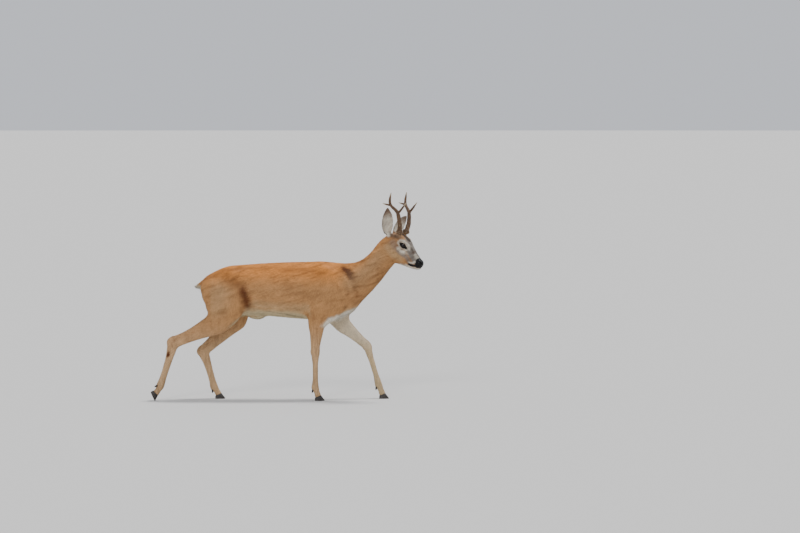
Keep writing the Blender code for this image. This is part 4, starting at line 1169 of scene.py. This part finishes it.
class Tree:
    """Adds and links the nodes of one node tree."""

    def __init__(self, tree):
        self.tree = tree

    def add(self, kind, inputs=(), **settings):
        made = self.tree.nodes.new(kind)
        for name, value in settings.items():
            setattr(made, name, value)
        for name, value in dict(inputs).items():
            self.set(made.inputs[name], value)
        return made

    def set(self, socket, value):
        if isinstance(value, bpy.types.NodeSocket):
            self.tree.links.new(value, socket)
        else:
            socket.default_value = value

    def mix(self, share, first, second, blend="MIX"):
        made = self.add("ShaderNodeMix", data_type="RGBA", blend_type=blend)
        self.set(made.inputs[0], share)
        self.set(made.inputs[6], first)
        self.set(made.inputs[7], second)
        return made.outputs[2]

    def times(self, first, second):
        """Two colours multiplied."""
        return self.mix(1.0, first, second, "MULTIPLY")

    def grey(self, value):
        return self.add("ShaderNodeCombineColor", {"Red": value, "Green": value, "Blue": value}).outputs[0]

    def place(self):
        return self.add("ShaderNodeTexCoord").outputs["Object"]

    def sum(self, how, first, second, clamp=False):
        made = self.add("ShaderNodeMath", operation=how, use_clamp=clamp)
        self.set(made.inputs[0], first)
        self.set(made.inputs[1], second)
        return made.outputs[0]

    def range(self, value, from_low, from_high, to_low, to_high):
        made = self.add("ShaderNodeMapRange")
        for index, item in enumerate((value, from_low, from_high, to_low, to_high)):
            self.set(made.inputs[index], item)
        return made.outputs[0]

    def attribute(self, name):
        """The four values of a colour attribute."""
        layer = self.add("ShaderNodeAttribute", attribute_name=name)
        split = self.add("ShaderNodeSeparateColor", {"Color": layer.outputs["Color"]})
        return [*split.outputs[:3], layer.outputs["Alpha"]]

    def noise(self, scale, detail=2.0, rough=0.5):
        inputs = {"Vector": self.place(), "Scale": scale, "Detail": detail, "Roughness": rough}
        return self.add("ShaderNodeTexNoise", inputs).outputs["Fac"]

    def bump(self, height, strength, distance):
        inputs = {"Height": height, "Strength": strength, "Distance": distance}
        return self.add("ShaderNodeBump", inputs).outputs["Normal"]


SHADE_UNDER_HAIR = (0.86, 0.84, 0.82)  # painted shade: how much darker the skin is drawn than the hair over it, for the shadow that the tufts cast on it


def opaque(colour):
    return (*colour, 1.0)


def coat_colours(settings):
    """The shared node group that turns the marks into colours, and gives the bare nose's mask."""
    group = bpy.data.node_groups.new("Coat colours", "ShaderNodeTree")
    group.interface.new_socket("Color", in_out="OUTPUT", socket_type="NodeSocketColor")
    group.interface.new_socket("Bare", in_out="OUTPUT", socket_type="NodeSocketFloat")
    tree = Tree(group)
    masks = dict(zip(MASKS, [*tree.attribute("Marks_A"), *tree.attribute("Marks_B")]))
    broad, small = tree.noise(22.0, 3.0, 0.6), tree.noise(160.0, 2.0, 0.6)
    colour = opaque(settings.flank)
    for name in ("back", "leg", "patch", "belly", "face", "white", "charcoal", "black"):
        colour = tree.mix(masks[name], colour, opaque(getattr(settings, name)))
    furry = tree.sum("SUBTRACT", 1.0, masks["black"], clamp=True)
    streak = tree.attribute("Tone")[0]
    dark, off_belly = tree.range(streak, 0.48, 0.0, 0.0, 0.50), tree.range(masks["belly"], 0.0, 0.5, 1.0, 0.0)
    red = tree.sum("MULTIPLY", tree.sum("MULTIPLY", dark, off_belly), furry)
    colour = tree.mix(red, colour, opaque(settings.patch))
    tone = tree.sum("ADD", tree.range(broad, 0.3, 0.7, 0.92, 1.06), tree.range(small, 0.3, 0.7, -0.07, 0.07))
    tone = tree.sum("MULTIPLY", tone, tree.range(streak, 0.0, 1.0, 0.78, 1.22))
    colour = tree.mix(furry, colour, tree.times(colour, tree.grey(tone)))
    tree.add("NodeGroupOutput", {"Color": colour, "Bare": masks["black"]})
    return group


def shaded(name, **uniform):
    """A new material, its tree and its shader, with values that are the same all over set on the shader."""
    finish = bpy.data.materials.new(name)
    finish.use_nodes = True
    shader = finish.node_tree.nodes["Principled BSDF"]
    for socket, value in uniform.items():
        shader.inputs[socket.replace("_", " ")].default_value = value
    return finish, Tree(finish.node_tree), shader


def skin_finish():
    """Short hair that is mostly bump, and cobbled bare skin on nose, lips and lids."""
    finish, tree, shader = shaded("Skin under the coat", Specular_IOR_Level=0.20)
    colours = tree.add("ShaderNodeGroup", node_tree=bpy.data.node_groups["Coat colours"])
    colour, bare = colours.outputs["Color"], colours.outputs["Bare"]
    # painted shade: away from the bare skin, the skin's colour is darkened for the tufts' shadow on it
    tree.set(shader.inputs["Base Color"], tree.mix(bare, tree.times(colour, opaque(SHADE_UNDER_HAIR)), colour))
    tree.set(shader.inputs["Roughness"], tree.range(bare, 0.0, 1.0, 0.80, 0.40))
    cobbles = tree.add("ShaderNodeTexVoronoi", {"Vector": tree.place(), "Scale": 620.0}, feature="F1")
    height = tree.add("ShaderNodeMix", data_type="FLOAT")
    tree.set(height.inputs[0], bare)
    tree.set(height.inputs[2], tree.noise(900.0, 2.0, 0.6))
    tree.set(height.inputs[3], tree.range(cobbles.outputs["Distance"], 0.0, 0.8, 1.0, 0.0))
    tree.set(shader.inputs["Normal"], tree.bump(height.outputs[0], 0.5, 0.0006))
    return finish


def hair_finish():
    finish, tree, shader = shaded("Coat", Roughness=0.62, Specular_IOR_Level=0.20)
    colours = tree.add("ShaderNodeGroup", node_tree=bpy.data.node_groups["Coat colours"])
    along, tone, *_ = tree.attribute("Strand")
    paler, varied = tree.range(along, 0.0, 1.0, 0.88, 1.08), tree.range(tone, 0.0, 1.0, 0.86, 1.14)
    shade = tree.grey(tree.sum("MULTIPLY", paler, varied))
    tree.set(shader.inputs["Base Color"], tree.times(colours.outputs["Color"], shade))
    return finish


def whisker_finish(settings):
    finish, _, shader = shaded("Lashes", Roughness=0.45)
    shader.inputs["Base Color"].default_value = opaque(settings.charcoal)
    return finish


def bone_finish(settings):
    finish, tree, shader = shaded("Antler", Specular_IOR_Level=0.45)
    polished, beads, grooves, _ = tree.attribute("Bone")
    stain = tree.range(tree.noise(70.0, 4.0, 0.65), 0.35, 0.65, 0.0, 1.0)
    colour = tree.mix(stain, opaque(settings.bone), opaque(settings.stain))
    colour = tree.mix(tree.sum("MULTIPLY", beads, 0.55), colour, opaque(settings.bead))
    colour = tree.mix(tree.sum("MULTIPLY", grooves, 0.5), colour, opaque(settings.stain))
    colour = tree.mix(polished, colour, opaque(settings.tip))
    tree.set(shader.inputs["Base Color"], colour)
    tree.set(shader.inputs["Roughness"], tree.range(polished, 0.0, 1.0, 0.62, 0.34))
    tree.set(shader.inputs["Normal"], tree.bump(tree.noise(900.0, 3.0, 0.6), 0.35, 0.0006))
    return finish


def eye_finish(settings):
    finish, tree, shader = shaded("Eye", Roughness=0.04, Specular_IOR_Level=0.20)
    pupil, iris, *_ = tree.attribute("Eye")
    colour = tree.mix(iris, opaque(settings.rim), opaque(settings.iris))
    tree.set(shader.inputs["Base Color"], tree.mix(pupil, colour, opaque(settings.pupil)))
    return finish


def horn_finish(settings):
    finish, tree, shader = shaded("Horn", Roughness=0.48, Specular_IOR_Level=0.4)
    waves = {"Vector": tree.place(), "Scale": 150.0, "Distortion": 3.0, "Detail": 2.0}
    rings = tree.add("ShaderNodeTexWave", waves, bands_direction="Z").outputs["Fac"]
    worn = tree.range(tree.noise(120.0, 3.0, 0.6), 0.4, 0.7, 0.0, 0.5)
    tree.set(shader.inputs["Base Color"], tree.mix(worn, opaque(settings.colour), opaque(settings.worn)))
    tree.set(shader.inputs["Normal"], tree.bump(rings, 0.35, 0.0005))
    return finish


# --- Settings ----------------------------------------------------------------------------------------------


def colour_property(name, words, default):
    return FloatVectorProperty(
        name=name, description=words, subtype="COLOR", size=3, min=0, max=1, default=default)


def length_property(name, words, default):
    return FloatProperty(
        name=name, description=words, unit="LENGTH", subtype="DISTANCE", min=0, default=default)


def factor_property(name, words, default):
    return FloatProperty(name=name, description=words, subtype="FACTOR", min=0.2, max=3.0, default=default)


class RoebuckCoat(bpy.types.PropertyGroup):
    grain: length_property("Grain", "Size of the faces that the skin is melted from", 0.002)
    triangle_count: IntProperty(name="Triangles", description="Triangles left in the skin", default=190000)
    spacing: factor_property("Spacing", "Distance between the tufts, against a roebuck's", 1.0)
    length: factor_property("Length", "Length of the tufts, against a roebuck's", 1.0)
    width: factor_property("Width", "Width of the tufts, against a roebuck's", 1.0)
    seed: IntProperty(name="Seed", description="Start of the random draws that strew the tufts", default=7)
    flank: colour_property("Flank", "Tan of the flanks", (0.44, 0.22, 0.085))
    back: colour_property("Back", "Foxy red of the back", (0.6, 0.22, 0.045))
    leg: colour_property("Legs", "Buff of the legs", (0.56, 0.345, 0.18))
    # The patch colour paints dark patches, flecks and streaks, and also the painted shade in the fold before
    # the thigh.
    patch: colour_property("Patches", "Dark red-brown patches before shoulder and thigh", (0.1, 0.024, 0.003))
    belly: colour_property("Belly", "Cream of the belly and rump", (0.54, 0.43, 0.25))
    white: colour_property("White", "White of chin, brisket and inner ears", (0.68, 0.62, 0.51))
    face: colour_property("Face", "Grey of forehead and bridge of the nose", (0.215, 0.19, 0.165))
    charcoal: colour_property("Charcoal", "Near-black of ear rims and forehead", (0.06, 0.042, 0.03))
    black: colour_property("Bare skin", "Black of the nose, lips and lids", (0.003, 0.0025, 0.0025))


class RoebuckAntlers(bpy.types.PropertyGroup):
    grain: length_property("Grain", "Size of the antlers' faces", 0.0008)
    beads: length_property("Beads", "Height of the beads near the burr", 0.0013)
    bone: colour_property("Bone", "Main brown", (0.135, 0.066, 0.026))
    stain: colour_property("Stain", "Darkest brown, in the grooves", (0.05, 0.023, 0.009))
    bead: colour_property("Beads", "Paler tops of the beads", (0.27, 0.175, 0.09))
    tip: colour_property("Tips", "Ivory of the rubbed tips", (0.4, 0.31, 0.19))


class RoebuckEyes(bpy.types.PropertyGroup):
    pupil: colour_property("Pupil", "Colour of the pupil", (0.003, 0.003, 0.004))
    iris: colour_property("Iris", "Colour of the iris", (0.013, 0.006, 0.0035))
    rim: colour_property("Rim", "Colour of the eyeball round the iris", (0.006, 0.004, 0.003))


class RoebuckClaws(bpy.types.PropertyGroup):
    grain: length_property("Grain", "Size of the claws' faces", 0.0013)
    colour: colour_property("Horn", "Colour of the horn", (0.022, 0.018, 0.016))
    worn: colour_property("Worn horn", "Colour where the horn is scuffed", (0.085, 0.07, 0.058))


class RoebuckStage(bpy.types.PropertyGroup):
    floor: colour_property("Floor", "Colour of the floor", (0.62, 0.61, 0.59))
    world: colour_property("Surroundings", "Colour of the light from all round", (0.9, 0.93, 1.0))
    ambient: FloatProperty(name="Ambient", description="Strength of the light from all round", default=0.75)
    key: FloatProperty(name="Key light", description="Strength of the main light, from above", default=2.6)
    fill: FloatProperty(name="Fill light", description="Strength of the light from the right", default=0.9)
    distance: length_property("Camera's distance", "How far the camera stands to the buck's right", 15.0077)
    along: length_property("Camera's place", "How far ahead of the buck's loins the camera stands", 0.5623)
    height: length_property("Camera's height", "How high the camera is over the floor", 1.4)
    pitch: FloatProperty(name="Camera's pitch", description="How far the camera looks down", subtype="ANGLE",
                         unit="ROTATION", default=math.radians(2.79))
    lens: FloatProperty(name="Lens", description="Focal length, in mm", default=135.0)


SETTINGS = {"coat": RoebuckCoat, "antlers": RoebuckAntlers, "eyes": RoebuckEyes, "claws": RoebuckClaws,
            "stage": RoebuckStage}


def settings_of(context, name):
    return getattr(context.scene, f"roebuck_{name}")


def finished(name, mesh, finish, slot, *nodes):
    """Adds a piece with its finish, lets it ride on the root, and hides the nodes that it stands for."""
    piece = add_object(name, mesh, finish)
    mesh.shade_smooth()
    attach(piece, "root")
    if nodes:
        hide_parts(*nodes)
    return piece


# --- Operators ---------------------------------------------------------------------------------------------


FLOOR_RADIUS = 400.0
SUNS = {"key": (12, (0.9, 0.35, 2.4)), "fill": (14, (-0.6, -2.4, 1.3))}  # how wide, in degrees, and where


class ROEBUCK_OT_stage(bpy.types.Operator):
    """Make the floor, the lights and the camera"""
    bl_idname = "roebuck.stage"
    bl_label = "Stage"

    def execute(self, context):
        settings = settings_of(context, "stage")
        bm = bmesh.new()
        bmesh.ops.create_circle(bm, cap_ends=True, segments=96, radius=FLOOR_RADIUS)
        finish, _, shader = shaded("Floor", Roughness=0.9, Specular_IOR_Level=0.1)
        shader.inputs["Base Color"].default_value = opaque(settings.floor)
        add_object("floor", to_mesh(bm, "floor"), finish)

        world = bpy.data.worlds.new("surroundings")
        world.use_nodes = True
        background = world.node_tree.nodes["Background"]
        background.inputs["Color"].default_value = opaque(settings.world)
        background.inputs["Strength"].default_value = settings.ambient
        context.scene.world = world
        for name, (angle, place) in SUNS.items():
            light = bpy.data.lights.new(name, "SUN")
            light.energy = getattr(settings, name)
            light.angle = math.radians(angle)
            lamp = bpy.data.objects.new(name, light)
            lamp.location = place
            lamp.rotation_euler = (-Vector(place)).to_track_quat("-Z", "Y").to_euler()
            context.scene.collection.objects.link(lamp)

        camera = bpy.data.objects.new("camera", bpy.data.cameras.new("camera"))
        camera.data.lens = settings.lens
        camera.data.clip_end = 1000.0
        camera.location = BODY_ORIGIN + Vector((settings.along, -settings.distance, settings.height))
        camera.rotation_euler = (math.radians(90) - settings.pitch, 0, 0)
        context.scene.collection.objects.link(camera)
        context.scene.camera = camera
        return {"FINISHED"}


class ROEBUCK_OT_skin(bpy.types.Operator):
    """Make the skin, with its markings and the lie of its hair"""
    bl_idname = "roebuck.skin"
    bl_label = "Skin"

    def execute(self, context):
        settings = settings_of(context, "coat")
        coat_colours(settings)
        mesh = skin_mesh(settings.grain, settings.triangle_count)
        points, normals, ends = corners(mesh), corner_normals(mesh), edge_ends(mesh)
        parts = nearest_nodes(points)
        ear = ear_form(points, normals, parts)
        masks = markings(points, normals, ear)
        point_colours(mesh, "Marks_A", masks[:, :4])
        point_colours(mesh, "Marks_B", masks[:, 4:])
        point_colours(mesh, "Tone", streaks(points)[:, None])
        lie = np.array([way_of_hair(name) for name in FLESH])[parts]
        lie = across(blurred(lie, ends, 40), normals)
        point_colours(mesh, "Lie", lie / 2 + 0.5)
        point_colours(mesh, "Hair", hair_form(points, parts, ear, ends) * HAIR_UNITS)
        mesh.attributes.new("Part", "INT", "POINT").data.foreach_set("value", parts.astype(np.int32))
        finished("skin", mesh, skin_finish(), "coat", *FLESH)
        return {"FINISHED"}


class ROEBUCK_OT_coat(bpy.types.Operator):
    """Make the tufts of the coat, in pieces"""
    bl_idname = "roebuck.coat"
    bl_label = "Coat"

    def execute(self, context):
        settings = settings_of(context, "coat")
        skin = Skin(bpy.data.objects["skin"])
        random = np.random.default_rng(settings.seed)
        finish = hair_finish()
        for name, faces in skin.regions().items():
            mesh = grown_coat(name, skin, faces, settings, random)
            slot = "face_coat" if name in ("coat_head", "coat_ear") else "coat"
            finished(name, mesh, finish, slot)
        return {"FINISHED"}


class ROEBUCK_OT_lashes(bpy.types.Operator):
    """Make the lashes and whiskers"""
    bl_idname = "roebuck.lashes"
    bl_label = "Lashes and whiskers"

    def execute(self, context):
        finish = whisker_finish(settings_of(context, "coat"))
        lengths = LASH_LENGTH * (0.8 + 0.2 * np.sin(np.arange(LASH_COUNT) * 2.4))
        for side in SIDES:
            mesh = whisker_mesh(f"lashes_{side}", *lashes_of(side), lengths, LASH_WIDTH)
            finished(f"lashes_{side}", mesh, finish, "face_coat")
        rows = whisker_rows(Skin(bpy.data.objects["skin"]))
        mesh = whisker_mesh("whiskers", *rows, WHISKER_WIDTH)
        finished("whiskers", mesh, finish, "face_coat")
        return {"FINISHED"}


class ROEBUCK_OT_antlers(bpy.types.Operator):
    """Make the two antlers"""
    bl_idname = "roebuck.antlers"
    bl_label = "Antlers"

    def execute(self, context):
        settings = settings_of(context, "antlers")
        finish = bone_finish(settings)
        for side in SIDES:
            nodes = [f"antler_{side}_{part}" for part in ANTLER_PARTS]
            mesh = antler_mesh(side, settings)
            finished(f"antler_{side}_whole", mesh, finish, "antler", *nodes)
        return {"FINISHED"}


class ROEBUCK_OT_eyes(bpy.types.Operator):
    """Make the two eyes"""
    bl_idname = "roebuck.eyes"
    bl_label = "Eyes"

    def execute(self, context):
        finish = eye_finish(settings_of(context, "eyes"))
        for side in SIDES:
            finished(f"eyeball_{side}", eye_mesh(side), finish, "eye", f"eye_{side}")
        return {"FINISHED"}


class ROEBUCK_OT_claws(bpy.types.Operator):
    """Make the claws and dewclaws"""
    bl_idname = "roebuck.claws"
    bl_label = "Claws"

    def execute(self, context):
        settings = settings_of(context, "claws")
        finish = horn_finish(settings)
        for kind in ("claw", "dewclaw"):
            for pair in PAIRS:
                for side in SIDES:
                    nodes = [f"{kind}_{pair}_{side}_{hand}" for hand in ("inner", "outer")]
                    name = f"{kind}s_{pair}_{side}"
                    finished(name, horn_mesh(nodes, settings.grain, name), finish, "horn", *nodes)
        return {"FINISHED"}


class ROEBUCK_PT_panel(bpy.types.Panel):
    """Steps that make the roebuck, in order, and their settings"""
    bl_idname = "ROEBUCK_PT_panel"
    bl_label = "Roebuck"
    bl_space_type = "VIEW_3D"
    bl_region_type = "UI"
    bl_category = "Roebuck"

    def draw(self, context):
        for operator in OPERATORS:
            self.layout.operator(operator.bl_idname)
        for name, group in SETTINGS.items():
            box = self.layout.box()
            box.label(text=name.title())
            for field in group.__annotations__:
                box.prop(settings_of(context, name), field)


OPERATORS = (ROEBUCK_OT_stage, ROEBUCK_OT_skin, ROEBUCK_OT_coat, ROEBUCK_OT_lashes, ROEBUCK_OT_antlers,
             ROEBUCK_OT_eyes, ROEBUCK_OT_claws)
CLASSES = (*SETTINGS.values(), *OPERATORS, ROEBUCK_PT_panel)


def register():
    for each in CLASSES:
        bpy.utils.register_class(each)
    for name, group in SETTINGS.items():
        setattr(bpy.types.Scene, f"roebuck_{name}", PointerProperty(type=group))


def unregister():
    for name in SETTINGS:
        delattr(bpy.types.Scene, f"roebuck_{name}")
    for each in reversed(CLASSES):
        bpy.utils.unregister_class(each)


def main():
    register()
    for operator in OPERATORS:
        getattr(bpy.ops.roebuck, operator.bl_idname.split(".")[1])()


if __name__ == "__main__":
    main()
